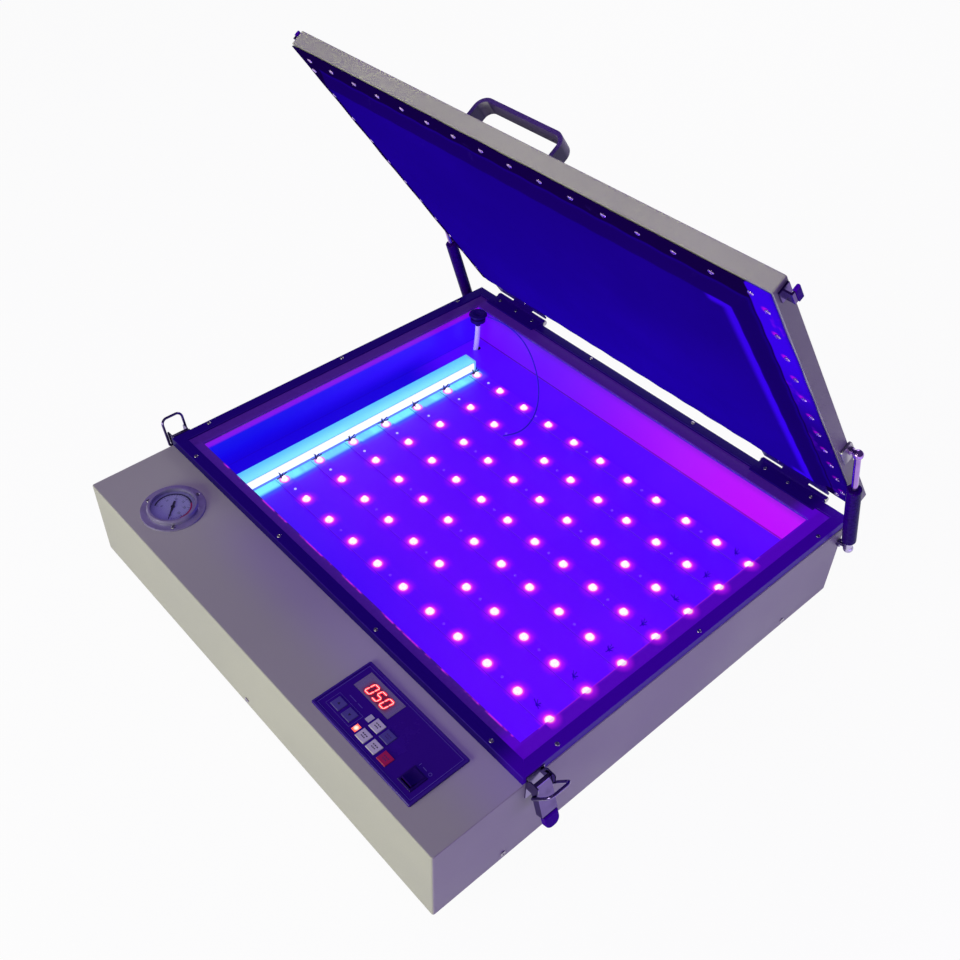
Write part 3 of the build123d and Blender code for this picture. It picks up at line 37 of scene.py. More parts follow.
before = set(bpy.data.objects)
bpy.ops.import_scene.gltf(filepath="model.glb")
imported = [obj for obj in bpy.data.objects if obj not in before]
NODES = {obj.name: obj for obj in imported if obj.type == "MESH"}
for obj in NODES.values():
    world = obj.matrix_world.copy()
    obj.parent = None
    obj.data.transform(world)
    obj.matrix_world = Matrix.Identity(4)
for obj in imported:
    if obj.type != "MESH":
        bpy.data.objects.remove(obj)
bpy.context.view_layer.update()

MM = 0.001
SETBACK = 8.0
LID_OPEN = math.radians(55.0)
SINE, COSINE = math.sin(LID_OPEN), math.cos(LID_OPEN)
HINGE_Y, HINGE_Z = 355.0, 139.0
LID_WIDTH, LID_DEPTH = 705.0, 564.0
LID_REAR = -14.0
LID_FRONT = LID_REAR - LID_DEPTH
DECK = 126.3
PANEL_TOP = DECK + 1.6
KEY_TOP = DECK + 2.6
INK = 0.05
GAUGE = (-240.0, -288.0)
DIGITS = (167.2, -268.3)
SIDE_PITCH, FRONT_PITCH = 48.2, 43.6
COLUMN_PITCH, COLUMN_START = 0.0530, -0.2444
ROW_PITCH, ROW_START = 0.0608, -0.1254
UP = Vector((0, 0, 1))
BLACK = (0.0, 0.0, 0.0, 1.0)


def at(x, y, z):
    """A place given in millimetres from the middle of the case."""
    return Vector((x, y - SETBACK, z)) * MM


def on_lid(x, y, z):
    """A place in millimetres on the lid: y back from the hinge, z up when the lid is shut."""
    return at(x, HINGE_Y + y * COSINE + z * SINE, HINGE_Z - y * SINE + z * COSINE)


def loose(x, y, z):
    """A place given in millimetres from the origin of a form that is set on points."""
    return Vector((x, y, z)) * MM


def tint(red, green, blue):
    """A display colour of 0 to 255 a channel as the linear colour that shaders take."""
    linear = []
    for value in (red, green, blue):
        part = value / 255.0
        linear.append(part / 12.92 if part <= 0.04045 else ((part + 0.055) / 1.055) ** 2.4)
    return (*linear, 1.0)


def washed(colour, red, green, blue):
    """The colour with each of its parts taken by its own share."""
    return (*(min(part * share, 1.0) for part, share in zip(colour, (red, green, blue))), 1.0)


def scaled(colour, share):
    return washed(colour, share, share, share)


# ---------------------------------------------------------------- shader maths


def operators(operation):
    """An operator and its reflected form."""
    return (lambda self, other: self.sum(operation, self, other),
            lambda self, other: self.sum(operation, other, self))


class Shade:
    """A number in a finish's node tree that can be used in ordinary sums."""

    def __init__(self, finish, socket):
        self.finish = finish
        self.socket = socket

    def sum(self, operation, *values):
        return self.finish.add("ShaderNodeMath", {"operation": operation}, dict(enumerate(values)))

    __add__, __radd__ = operators("ADD")
    __sub__, __rsub__ = operators("SUBTRACT")
    __mul__, __rmul__ = operators("MULTIPLY")
    __pow__ = operators("POWER")[0]
    __gt__ = operators("GREATER_THAN")[0]
    __lt__ = operators("LESS_THAN")[0]

    def magnitude(self):
        return self.sum("ABSOLUTE", self)

    def within(self, middle, reach):
        """1 where the value lies within reach of the middle, else 0."""
        return (self - middle).magnitude() < reach

    def folded(self, pitch, start):
        """Distance to the nearest of a row of places that lie a pitch apart."""
        return self.sum("PINGPONG", self - (start - pitch), pitch / 2)


def distance(across, along):
    return (across * across + along * along) ** 0.5


class Finish:
    """One material and the nodes that make it."""

    def __init__(self, name):
        self.material = bpy.data.materials.new(name)
        self.material.use_nodes = True
        self.tree = self.material.node_tree
        self.tree.nodes.clear()
        self.coordinates = None

    def add(self, kind, settings=None, inputs=None, output=0):
        node = self.tree.nodes.new(kind)
        for name, value in (settings or {}).items():
            setattr(node, name, value)
        for name, value in (inputs or {}).items():
            if isinstance(value, Shade):
                self.tree.links.new(value.socket, node.inputs[name])
            else:
                node.inputs[name].default_value = value
        return Shade(self, node.outputs[output])

    def place(self):
        if self.coordinates is None:
            self.coordinates = self.add("ShaderNodeTexCoord", output="Object")
        return self.coordinates

    def axes(self, vector=None):
        node = self.add("ShaderNodeSeparateXYZ", inputs={0: vector or self.place()})
        return [Shade(self, output) for output in node.socket.node.outputs]

    def facing(self):
        """The three parts of the way the surface faces, in the object's own axes."""
        return self.axes(self.add("ShaderNodeTexCoord", output="Normal"))

    def mix(self, share, first, second):
        settings = {"data_type": "RGBA"}
        return self.add("ShaderNodeMix", settings, {0: share, 6: first, 7: second}, output=2)

    def blend(self, value, low, high, first, second):
        """The first colour where a value is at low, the second where it is at high."""
        return self.mix(self.rise(value, low, high), first, second)

    def mottled(self, cloud, low, high, colour, dark, light):
        """The colour drifting between two shares of itself."""
        return self.blend(cloud, low, high, scaled(colour, dark), scaled(colour, light))

    def layers(self, colour, *washes):
        """Lays washes of (share, red, green, blue) over a colour, the last on top."""
        for share, *wash in washes:
            colour = self.mix(share, colour, tint(*wash))
        return colour

    def stretch(self, x, y, z, vector=None):
        inputs = {0: vector or self.place(), 1: (x, y, z)}
        return self.add("ShaderNodeVectorMath", {"operation": "MULTIPLY"}, inputs)

    def noise(self, scale, detail=2.0, roughness=0.5, vector=None):
        inputs = {"Scale": scale, "Detail": detail, "Roughness": roughness}
        inputs["Vector"] = vector or self.place()
        return self.add("ShaderNodeTexNoise", inputs=inputs)

    def cells(self, scale, output="Distance"):
        inputs = {"Scale": scale, "Vector": self.place()}
        return self.add("ShaderNodeTexVoronoi", inputs=inputs, output=output)

    def rise(self, value, low, high, least=0.0, most=1.0):
        """A smooth step from least at low to most at high."""
        inputs = {0: value, 1: low, 2: high, 3: least, 4: most}
        return self.add("ShaderNodeMapRange", {"interpolation_type": "SMOOTHSTEP"}, inputs)

    def fall(self, value, low, high):
        return self.rise(value, low, high, 1.0, 0.0)

    def drift(self, noise, least=0.0, most=1.0):
        """The middle of a noise's reach spread from least to most."""
        return self.rise(noise, 0.3, 0.7, least, most)

    def bump(self, height, depth, strength):
        inputs = {"Height": height, "Distance": depth, "Strength": strength}
        return self.add("ShaderNodeBump", inputs=inputs)

    def close(self, **sockets):
        """Ends the finish in one surface with these values on its sockets."""
        inputs = {name.replace("_", " "): value for name, value in sockets.items()}
        surface = self.add("ShaderNodeBsdfPrincipled", inputs=inputs)
        self.add_output(surface)
        return self.material

    def add_output(self, surface):
        node = self.tree.nodes.new("ShaderNodeOutputMaterial")
        self.tree.links.new(surface.socket, node.inputs["Surface"])


# ---------------------------------------------------------------- finishes


def powder_coat(name, colour):
    """Baked powder paint: fine orange peel, slow drift of tone and a few light scuffs; lamp light
    and shade are painted on its right-hand walls and deck.
    """
    f = Finish(name)
    cloud, peel, speck = f.noise(5.0, 3.0), f.noise(1300.0, 2.0, 0.6), f.noise(420.0, 1.0)
    shade = f.mottled(cloud, 0.35, 0.65, colour, 0.94, 1.05)
    shade = f.mix(f.rise(speck, 0.60, 0.72, 0.0, 0.10), shade, scaled(colour, 0.6))
    streak = f.noise(9.0, 6.0, 0.7, f.stretch(1.0, 6.0, 2.0))
    scuff = f.rise(streak, 0.70, 0.76, 0.0, 0.22)
    shade = f.mix(scuff, shade, scaled(colour, 0.72))
    # painted violet light of the lamps on the right-hand walls and on the deck beside the bars,
    # with painted shade on the lid's right wall
    x, y, z = f.axes()
    across, _, up = f.facing()
    right = f.rise(across, 0.6, 0.9)
    shade = f.mix(right * 0.85, shade, washed(colour, 0.86, 0.74, 1.20))
    lid_wall_shade = right * f.rise(z, 0.1300, 0.1450) * 0.85
    shade = f.mix(lid_wall_shade, shade, washed(colour, 0.50, 0.34, 0.84))
    # painted light: the deck is painted lighter, and beside the bars more violet, stronger to the
    # right
    deck = f.rise(up, 0.8, 0.95) * (z < 0.130)
    shade = f.mix(deck * 0.8, shade, washed(colour, 1.14, 1.22, 1.06))
    beside = f.rise(y, -0.325, -0.235) * f.rise(x, -0.26, -0.08)
    weak, strong = washed(colour, 0.94, 0.80, 1.34), washed(colour, 1.16, 1.04, 1.56)
    lit = f.blend(x, -0.02, 0.12, weak, strong)
    shade = f.mix(deck * beside * 0.8, shade, lit)
    return f.close(
        Base_Color=shade,
        Roughness=f.drift(cloud, 0.40, 0.50) + scuff * 0.5,
        Normal=f.bump(peel, 0.00022, 0.55),
        Specular_IOR_Level=0.45,
    )


def bright_metal(name, colour, rough, metal=1.0):
    """Plated metal with fine draw lines, dull patches and small pits."""
    f = Finish(name)
    patch = f.noise(45.0, 4.0, 0.6)
    lines = f.noise(700.0, 2.0, 0.5, f.stretch(1.0, 0.15, 1.0))
    pits = f.fall(f.cells(900.0), 0.0, 0.16)
    return f.close(
        Base_Color=f.blend(patch, 0.4, 0.75, colour, scaled(colour, 0.72)),
        Metallic=metal,
        Roughness=rough + f.rise(patch, 0.35, 0.8, 0.0, 0.12) + pits * 0.1,
        Normal=f.bump(lines + pits * -0.5, 0.00006, 0.35),
    )


def moulded(name, colour, rough=0.45, grain=1500.0, depth=0.0001, dusty=0.14, sheen=0.5, lit=0.0):
    """Moulded plastic or rubber with a fine etched grain; lit is the strength of a painted glow of
    the lamps' light.
    """
    f = Finish(name)
    cloud = f.noise(30.0, 3.0)
    dust = f.rise(f.noise(160.0, 5.0, 0.7), 0.58, 0.75, 0.0, dusty)
    shade = f.mottled(cloud, 0.3, 0.7, colour, 0.88, 1.12)
    return f.close(
        Base_Color=f.mix(dust, shade, (0.25, 0.24, 0.27, 1.0)),
        Roughness=f.drift(cloud, rough - 0.05, rough + 0.07) + dust * 0.4,
        Normal=f.bump(f.cells(grain), depth, 0.5),
        Specular_IOR_Level=sheen,
        Emission_Color=shade,
        Emission_Strength=lit,
    )


def frame_black(colour):
    """Black anodised bar with a drawn grain along its length and a paler band along its top arris;
    the lamps' violet light is painted on as a glow, and painted shade darkens its upright faces.
    """
    f = Finish("black_anodised_bar")
    x, _, z = f.axes()
    along_side = f.rise(x.magnitude(), 0.3300, 0.3305)
    grain, grain_side = (f.noise(90.0, 4.0, 0.65, f.stretch(*pull)) for pull in (
        (1.0, 14.0, 14.0), (14.0, 1.0, 14.0)))
    drawn = grain * (1 - along_side) + grain_side * along_side
    dust = f.rise(f.noise(130.0, 6.0, 0.75), 0.62, 0.80, 0.0, 0.10)
    edge = f.rise(z, 0.1379, 0.1387) * (1 - f.rise(z, 0.13885, 0.13895))
    shade = f.mottled(drawn, 0.35, 0.65, colour, 0.85, 1.15)
    shade = f.layers(shade, (dust, 96, 78, 160), (edge * 0.25, 96, 66, 170))
    # painted shade: the upright faces below the top are darkened
    shade = f.mix(f.fall(z, 0.1375, 0.1385) * 0.7, shade, scaled(colour, 0.2))
    return f.close(
        Base_Color=f.mix(0.35, shade, BLACK),
        Roughness=f.drift(drawn, 0.30, 0.42) + dust * 0.5,
        Normal=f.bump(drawn, 0.00008, 0.25),
        Specular_IOR_Level=0.03,
        # painted light: the lamps' violet glow, stronger on the right-hand bar
        Emission_Color=f.blend(x, 0.30, 0.335, tint(22, 0, 96), tint(60, 0, 168)),
        Emission_Strength=0.55,
    )


def galvanised():
    """Zinc-dipped sheet with its crystal spangle."""
    f = Finish("galvanised_sheet")
    tone = f.add("ShaderNodeRGBToBW", inputs={0: f.cells(70.0, "Color")})
    fine = f.noise(500.0, 3.0)
    return f.close(
        Base_Color=f.mix(tone, tint(150, 152, 158), tint(196, 198, 204)),
        Metallic=0.9,
        Roughness=0.34 + tone * 0.16 + fine * 0.06,
        Normal=f.bump(tone + fine * 0.3, 0.00006, 0.4),
    )


def near_left(f, x, y):
    """How far a place lies to the near left corner of the chamber, where light is bluer."""
    return f.rise(y, -0.20, -0.05, 0.85, 0.0) * f.rise(x, -0.05, 0.22, 1.0, 0.25)


def lamp_wash(f, x, y, under):
    """Cyan light of the white lamp on what lies beside it, broken up by the wires between."""
    beside = f.fall(x, -0.2500, -0.2230) * f.rise(x, -0.285, -0.278)
    glow = beside * (f.rise(y, -0.215, -0.180) * f.fall(y, 0.240, 0.262))
    broken = f.rise(f.noise(34.0, 3.0, 0.6, f.stretch(0.35, 1.0, 1.0)), 0.38, 0.62, 0.70, 1.0)
    return f.layers(
        under, (f.rise(glow, 0.0, 0.55) * broken, 44, 74, 255),
        (f.rise(glow, 0.45, 0.85) * broken, 116, 240, 255))


def from_lamp(x, y):
    """Distance to the nearest lamp of the grid, in metres."""
    return distance(x.folded(COLUMN_PITCH, COLUMN_START), y.folded(ROW_PITCH, ROW_START))


def halo(f, x, y, reach, core):
    """Light round each lamp of the grid, from 1 beside it to 0 at its reach."""
    grid = x.within(0.0206, 0.278) * y.within(0.0570, 0.195)
    return f.fall(from_lamp(x, y), core, reach) * grid


def chamber_walls():
    """Violet-lit white enamel: each wall holds the light of the lamps in its own hue."""
    f = Finish("lit_chamber_enamel")
    x, y, z = f.axes()
    ripple = f.noise(7.0, 4.0)
    # painted shade along the white lamp: on the floor behind it and low on the left wall
    shade_along_lamp = f.fall(y, 0.15, 0.25)
    floor = f.layers(
        f.blend(y, -0.05, 0.30, tint(92, 2, 252), tint(78, 1, 253)),
        (f.rise(ripple, 0.45, 0.75, 0.0, 0.30), 104, 3, 255),
        (near_left(f, x, y), 58, 0, 246),
        (halo(f, x, y, 0.0200, 0.006) * 0.55, 186, 14, 255),
        (f.fall(x, -0.284, -0.278) * shade_along_lamp, 22, 0, 214))
    far = f.layers(
        f.blend(x, -0.20, 0.28, tint(104, 0, 250), tint(190, 0, 246)),
        (f.rise(z, 0.112, 0.128, 0.0, 0.45), 84, 0, 190))
    left = f.layers(
        f.blend(y, -0.15, 0.25, tint(18, 0, 232), tint(52, 2, 255)),
        (f.fall(z, 0.0700, 0.1000) * shade_along_lamp, 22, 0, 214),
        # a painted magenta line of light near the top of the left wall
        (f.rise(z, 0.1160, 0.1210), 132, 0, 232))
    shade = f.mix(y > 0.3095, lamp_wash(f, x, y, floor), far)
    shade = f.mix(x < -0.3200, shade, left)
    seam = f.fall(z, 0.0706, 0.0722) * (z > 0.0692) * (0.25 + (x > -0.3200) * 0.75)
    shade = f.layers(
        shade, (x > 0.3200, 96, 2, 228), (y < -0.2070, 60, 1, 205), (seam * 0.75, 34, 0, 120))
    flange = f.mix(x < -0.3200, tint(60, 14, 190), tint(128, 2, 214))
    shade = f.mix(z > 0.1262, shade, flange)
    inside = (x.magnitude() < 0.3211) * y.within(0.05125, 0.2594) * (z > 0.0688)
    return f.close(
        Base_Color=f.mix(inside, tint(205, 205, 208), scaled(tint(150, 120, 255), 0.04)),
        Roughness=f.drift(ripple, 0.35, 0.5),
        Normal=f.bump(f.noise(900.0), 0.0001, 0.4),
        Emission_Color=f.mix(inside, BLACK, shade),
        Emission_Strength=1.0,
    )


def lamp_board():
    """White solder mask lit violet by its own lamps, with printed tracks between them."""
    f = Finish("lamp_board_mask")
    x, y, z = f.axes()
    strip = y.folded(ROW_PITCH, ROW_START)
    track = (strip.within(0.0052, 0.0004) + strip.within(0.0083, 0.0003)) * 0.28
    base = f.layers(
        f.blend(y, -0.05, 0.30, tint(96, 3, 254), tint(84, 2, 254)),
        (near_left(f, x, y), 60, 0, 247),
        (track, 60, 0, 214),
        (f.rise(strip, 0.0094, 0.0099) * 0.35, 128, 40, 255),
        (halo(f, x, y, 0.0165, 0.0070) * 0.75, 196, 16, 255))
    base = f.layers(
        lamp_wash(f, x, y, base),
        (halo(f, x, y, 0.0092, 0.0060), 255, 60, 236),
        (halo(f, x, y, 0.0064, 0.0050), 255, 232, 255))
    return f.close(
        Base_Color=scaled(tint(150, 120, 255), 0.04),
        Roughness=f.drift(f.noise(300.0), 0.3, 0.45),
        Normal=f.bump(track + f.noise(1200.0) * 0.2, 0.00008, 0.4),
        # painted shade: below its top the board glows a darker violet
        Emission_Color=f.blend(z, 0.0698, 0.0705, tint(60, 0, 190), base),
        Emission_Strength=1.0,
    )


def lamp_package():
    """Burning lamp: pink-white middle that falls off to magenta at its rim."""
    f = Finish("burning_lamp")
    x, y, _ = f.axes()
    facet = f.noise(1400.0)
    core = f.fall(from_lamp(x, y), 0.0036, 0.0050)
    return f.close(
        Base_Color=tint(255, 190, 250),
        Roughness=f.drift(facet, 0.15, 0.3),
        Emission_Color=f.mix(core, tint(255, 120, 240), tint(255, 240, 255)),
        Emission_Strength=1.0,
        Normal=f.bump(facet, 0.0001, 0.3),
    )


def board_screw_finish():
    """White screw heads: bright beside the white lamp, drowned in violet further off."""
    f = Finish("board_screw_white")
    near = f.fall(f.axes()[0], -0.215, -0.190)
    return f.close(
        Base_Color=scaled(tint(214, 190, 255), 0.2),
        Roughness=f.drift(f.noise(1500.0, 2.0), 0.3, 0.45),
        Emission_Color=f.mix(near, tint(104, 28, 255), tint(196, 190, 255)),
        Emission_Strength=0.9,
    )


def batten_body():
    """White enamelled channel of the inspection lamp, washed by its own light."""
    f = Finish("lamp_channel_enamel")
    x, y, z = f.axes()
    wash = f.noise(14.0, 3.0)
    lit = f.layers(
        f.blend(x, -0.2775, -0.2535, tint(80, 196, 255), tint(130, 240, 255)),
        (f.rise(wash, 0.4, 0.7, 0.0, 0.5), 104, 218, 255),
        # painted shade: the channel is darker blue below its top
        (1 - f.rise(z, 0.0896, 0.0906), 40, 70, 255))
    return f.close(
        Base_Color=scaled(tint(200, 225, 240), 0.2),
        Roughness=f.drift(wash, 0.3, 0.42),
        Emission_Color=f.mix(y.within(0.0255, 0.2155), tint(120, 190, 240), lit),
        Emission_Strength=0.92,
        Normal=f.bump(f.noise(900.0), 0.0001, 0.3),
    )


def diffuser():
    """Milky cover, brightest over the row of lamps behind it."""
    f = Finish("milky_cover")
    _, y, z = f.axes()
    beads = f.rise(y.folded(0.0100, 0.0), 0.0, 0.005, 0.25, 0.0)
    rim = f.rise(z, 0.0868, 0.0896) + f.fall(z, 0.0700, 0.0715)
    dim = rim * 0.7 + beads * 0.4
    return f.close(
        Base_Color=tint(225, 240, 250),
        Roughness=f.drift(f.noise(200.0), 0.25, 0.4),
        Emission_Color=f.mix(dim, tint(250, 255, 255), tint(176, 236, 255)),
        Emission_Strength=1.0,
    )


def clear_glass(name, colour, veil):
    """Float glass: clear, greener and more mirror-like at a slant, with faint wipe marks."""
    f = Finish(name)
    slant = f.add("ShaderNodeLayerWeight", inputs={"Blend": 0.20}, output="Fresnel")
    wipe = f.noise(6.0, 6.0, 0.7, f.stretch(1.0, 3.5, 1.0))
    smear = f.rise(wipe, 0.60, 0.76, 0.0, 0.012)
    return f.close(
        Base_Color=f.mix(slant, scaled(colour, 0.25), colour),
        Roughness=0.02 + smear * 4.0,
        Alpha=veil + slant * 0.05 + smear,
        Specular_IOR_Level=0.5,
    )


def seal_rubber():
    """Soft extruded seal that glows with the light beneath it."""
    f = Finish("seal_rubber")
    x, y, _ = f.axes()
    ring = f.noise(240.0, 3.0)
    inner = f.fall(x.magnitude(), 0.3148, 0.3200)
    by_right = f.rise(x, 0.28, 0.31)
    outside = f.mix(by_right, tint(34, 6, 82), tint(80, 0, 188))
    lit = f.mix(inner, outside, f.mix(by_right, tint(46, 14, 104), tint(88, 0, 204)))
    # the last row of lamps glints on the right-hand lip, with a magenta line between glints
    along, away = y.folded(0.0572, -0.1590), x - 0.3139
    spot = distance(along, away) + (1 - y.within(0.0126, 0.180))
    lip = f.fall(away, 0.0008, 0.0030) * f.rise(x, 0.3130, 0.3134) * y.within(0.0126, 0.190)
    # a broken line of painted pink glints along the front lip
    broken = f.rise(f.noise(46.0, 3.0, 0.6), 0.44, 0.60)
    front = f.rise(y, -0.2060, -0.2046) * (y < -0.2030) * x.within(0.02, 0.285)
    lit = f.layers(
        lit, (lip * 0.7, 196, 40, 255),
        (front * broken * 0.85, 210, 40, 240),
        (f.rise(spot, 0.0060, 0.0160, 0.75, 0.0), 190, 16, 255),
        (f.fall(spot, 0.0050, 0.0080), 255, 70, 236),
        (f.fall(spot, 0.0040, 0.0056), 255, 236, 255))
    shade = f.mix(f.drift(ring), tint(64, 24, 118), tint(72, 30, 128))
    return f.close(
        Base_Color=f.mix(by_right * 0.6, shade, BLACK),
        Roughness=f.drift(ring, 0.45, 0.6),
        Specular_IOR_Level=0.15,
        Emission_Color=lit,
        Emission_Strength=0.85,
        Normal=f.bump(ring, 0.0001, 0.4),
    )


def blanket_rubber(colour):
    """Black-blue vacuum rubber: matt border, taut middle, with the lamps' light, shade and glints
    painted on it.
    """
    f = Finish("blanket_rubber")
    flat = f.add("ShaderNodeUVMap", {"uv_map": "lay"})
    u, v, _ = f.axes(flat)
    weave = f.noise(1100.0, 2.0, 0.6, flat)
    cloud = f.noise(3.0, 4.0, 0.6, flat)
    pulls = f.noise(5.0, 3.0, 0.6, f.stretch(1.0, 7.0, 1.0, flat))
    # distance in from the edge of the sheet, in metres
    across = 0.3507 - (u - 0.5).magnitude()
    down = 0.2802 - (v - 0.5).magnitude()
    edge = f.add("ShaderNodeMath", {"operation": "SMOOTH_MIN"}, {0: across, 1: down, 2: 0.004})
    border = f.fall(edge, 0.0275, 0.0310)
    slope = f.rise(edge, 0.0290, 0.0330) * f.fall(edge, 0.0430, 0.0480)
    middle = f.mottled(cloud, 0.35, 0.70, colour, 0.90, 1.10)
    # painted shade: the middle darkens towards the lid's free end
    middle = f.mix(f.rise(v, 0.30, 0.78, 0.30, 0.0), middle, scaled(colour, 0.60))
    # painted light of the lamps on the border's right-hand strip, strongest towards its free end
    right = f.rise(u, 0.8225, 0.8245) * border * f.rise(v, 0.34, 0.58, 1.0, 0.2)
    # a painted line of light inside the slope, along the right and front sides
    front_glow = f.rise(edge, 0.0450, 0.0480) * f.fall(edge, 0.0520, 0.0640)
    ends = f.rise(u, 0.770, 0.780) + f.fall(v, 0.262, 0.264)
    chalk = f.rise(f.noise(26.0, 7.0, 0.75, flat), 0.62, 0.80, 0.0, 0.16)
    # painted magenta glints streaked along the right-hand strip
    glint_streaks = f.noise(26.0, 3.0, 0.6, f.stretch(1.0, 0.5, 1.0, flat))
    # painted pink glints beside each screw of the right-hand strip
    beside, down_row = u - 0.8372, v.folded(0.0482, 0.5)
    away = (beside * beside * 1.4 + down_row * down_row) ** 0.5
    pink = f.rise(away, 0.0015, 0.0075, 0.9, 0.0) * f.rise(u, 0.80, 0.81)
    # painted shade darkens the border and the slope
    shade = f.layers(
        f.mix(border, middle, tint(17, 1, 62)),
        (slope * 0.75, 20, 1, 84),
        (right * 0.85, 58, 4, 240),
        (front_glow * ends * 0.8, 58, 6, 238),
        (chalk, 84, 60, 190),
        (right * f.rise(glint_streaks, 0.56, 0.66, 0.0, 0.8), 126, 12, 240),
        (pink * f.rise(v, 0.30, 0.75, 1.0, 0.55), 190, 14, 226))
    # the painted colour is also emitted: the lamps' light painted on as a glow
    return f.close(
        Base_Color=f.mix(0.65, shade, BLACK),
        Roughness=f.drift(cloud, 0.50, 0.62) + chalk,
        Normal=f.bump(weave * 0.4 + pulls, 0.0005, 0.35),
        Emission_Color=shade,
        Emission_Strength=0.72,
        Specular_IOR_Level=0.0,
    )


def hose_silicone():
    """Milky silicone tube, lit violet where it hangs in the lamp chamber."""
    f = Finish("milky_silicone")
    z = f.axes()[2]
    cloud = f.noise(60.0, 4.0)
    return f.close(
        Base_Color=f.mix(f.drift(cloud), tint(186, 176, 224), tint(226, 222, 244)),
        Roughness=f.drift(cloud, 0.22, 0.36),
        Emission_Color=f.blend(z, 0.066, 0.074, BLACK, tint(150, 110, 224)),
        Emission_Strength=0.6,
        Normal=f.bump(cloud, 0.0001, 0.3),
        Coat_Weight=0.3,
    )


def gauge_card():
    """Printed metal card with a soft ring of shade under the bezel."""
    f = Finish("gauge_card")
    x, y, _ = f.axes()
    radius = distance(x + 0.2400, y + 0.2960)
    grain = f.noise(800.0, 2.0)
    shade = f.blend(radius, 0.018, 0.0288, tint(152, 152, 200), tint(112, 108, 160))
    return f.close(
        Base_Color=f.mix(f.drift(grain, 0.0, 0.12), shade, tint(190, 190, 225)),
        Roughness=f.drift(grain, 0.35, 0.5),
        Normal=f.bump(grain, 0.00005, 0.3),
    )


def panel_overlay(colour):
    """Dark glossy overlay film with a faint tooth and a paler wiped arc."""
    f = Finish("panel_overlay")
    wipe = f.rise(f.noise(18.0, 5.0, 0.7), 0.50, 0.75, 0.0, 0.18)
    # painted highlight along the top of the rim
    rim = f.rise(f.axes()[2], 0.1281, 0.1286)
    shade = f.mix(wipe, colour, scaled(colour, 1.8))
    return f.close(
        Base_Color=f.mix(rim * 0.55, shade, tint(64, 40, 140)),
        Roughness=f.rise(wipe, 0.0, 0.18, 0.26, 0.38),
        Normal=f.bump(f.cells(1800.0), 0.00006, 0.35),
        Specular_IOR_Level=0.2,
    )


def window_film():
    """Grey filter film over the digits, darker red round the lit ones, with their red glow painted
    on it.
    """
    f = Finish("window_film")
    x, y, _ = f.axes()
    near_x = f.fall((x - 0.1670).magnitude(), 0.0150, 0.0240)
    lit = near_x * f.fall((y + 0.2764).magnitude(), 0.0060, 0.0115)
    grain = f.noise(1200.0)
    shade = f.mix(f.drift(grain, 0.0, 0.2), tint(118, 104, 150), tint(134, 120, 166))
    return f.close(
        Base_Color=f.mix(lit * 0.9, shade, tint(50, 6, 34)),
        Roughness=f.drift(grain, 0.22, 0.34),
        Emission_Color=f.mix(lit, BLACK, tint(150, 4, 48)),
        Emission_Strength=0.4,
    )


def lens_finish():
    """Two small lenses: the front one burning red, the rear one dark and milky."""
    f = Finish("indicator_lens")
    x, y, _ = f.axes()
    lit = f.fall(y, -0.312, -0.310)
    away = distance(x - 0.1828, y + 0.3200)
    glow = f.blend(away, 0.0008, 0.0042, tint(255, 246, 226), tint(255, 76, 52))
    return f.close(
        Base_Color=f.mix(lit, tint(188, 184, 206), tint(255, 130, 96)),
        Roughness=f.drift(f.noise(900.0), 0.2, 0.3),
        Emission_Color=f.mix(lit, BLACK, glow),
        Emission_Strength=1.0,
    )


def key_cap(name, colour):
    """Moulded key cap, a little glossier where it is pressed."""
    f = Finish(name)
    worn = f.noise(90.0, 4.0)
    return f.close(
        Base_Color=f.mix(f.rise(worn, 0.45, 0.75, 0.0, 0.25), colour, scaled(colour, 0.78)),
        Roughness=f.drift(worn, 0.34, 0.48),
        Normal=f.bump(f.noise(1600.0, 2.0), 0.00006, 0.4),
    )


def painted_print(name, colour, strength=0.0, rough=0.5):
    """Printing ink or a lit mark, slightly uneven."""
    f = Finish(name)
    grain = f.noise(2200.0, 2.0)
    shade = f.mix(f.rise(grain, 0.35, 0.75, 0.0, 0.2), colour, scaled(colour, 0.8))
    glow = {"Emission_Color": shade, "Emission_Strength": strength} if strength else {}
    return f.close(
        Base_Color=shade, Roughness=f.drift(grain, rough - 0.05, rough + 0.05), **glow)


def strut_tube():
    """Black lacquered tube with drawn lines; neck and ball socket at its foot are steel."""
    f = Finish("strut_tube")
    _, y, z = f.axes()
    steel = f.fall(distance(y - 0.3321, z - 0.1023), 0.0195, 0.0202)
    grain = f.noise(260.0, 4.0, 0.6)
    scuff = f.rise(f.noise(70.0, 6.0, 0.75), 0.68, 0.80, 0.0, 0.18)
    # the black lacquer's deep violet is painted light of the lamps
    dark = f.mix(f.drift(grain), tint(30, 0, 96), tint(44, 0, 120))
    return f.close(
        Base_Color=f.layers(dark, (scuff, 70, 30, 150), (steel, 186, 176, 214)),
        Metallic=steel,
        Roughness=f.drift(grain, 0.24, 0.34) + scuff * 0.3,
        Normal=f.bump(grain, 0.00003, 0.15),
        Specular_IOR_Level=0.02,
    )


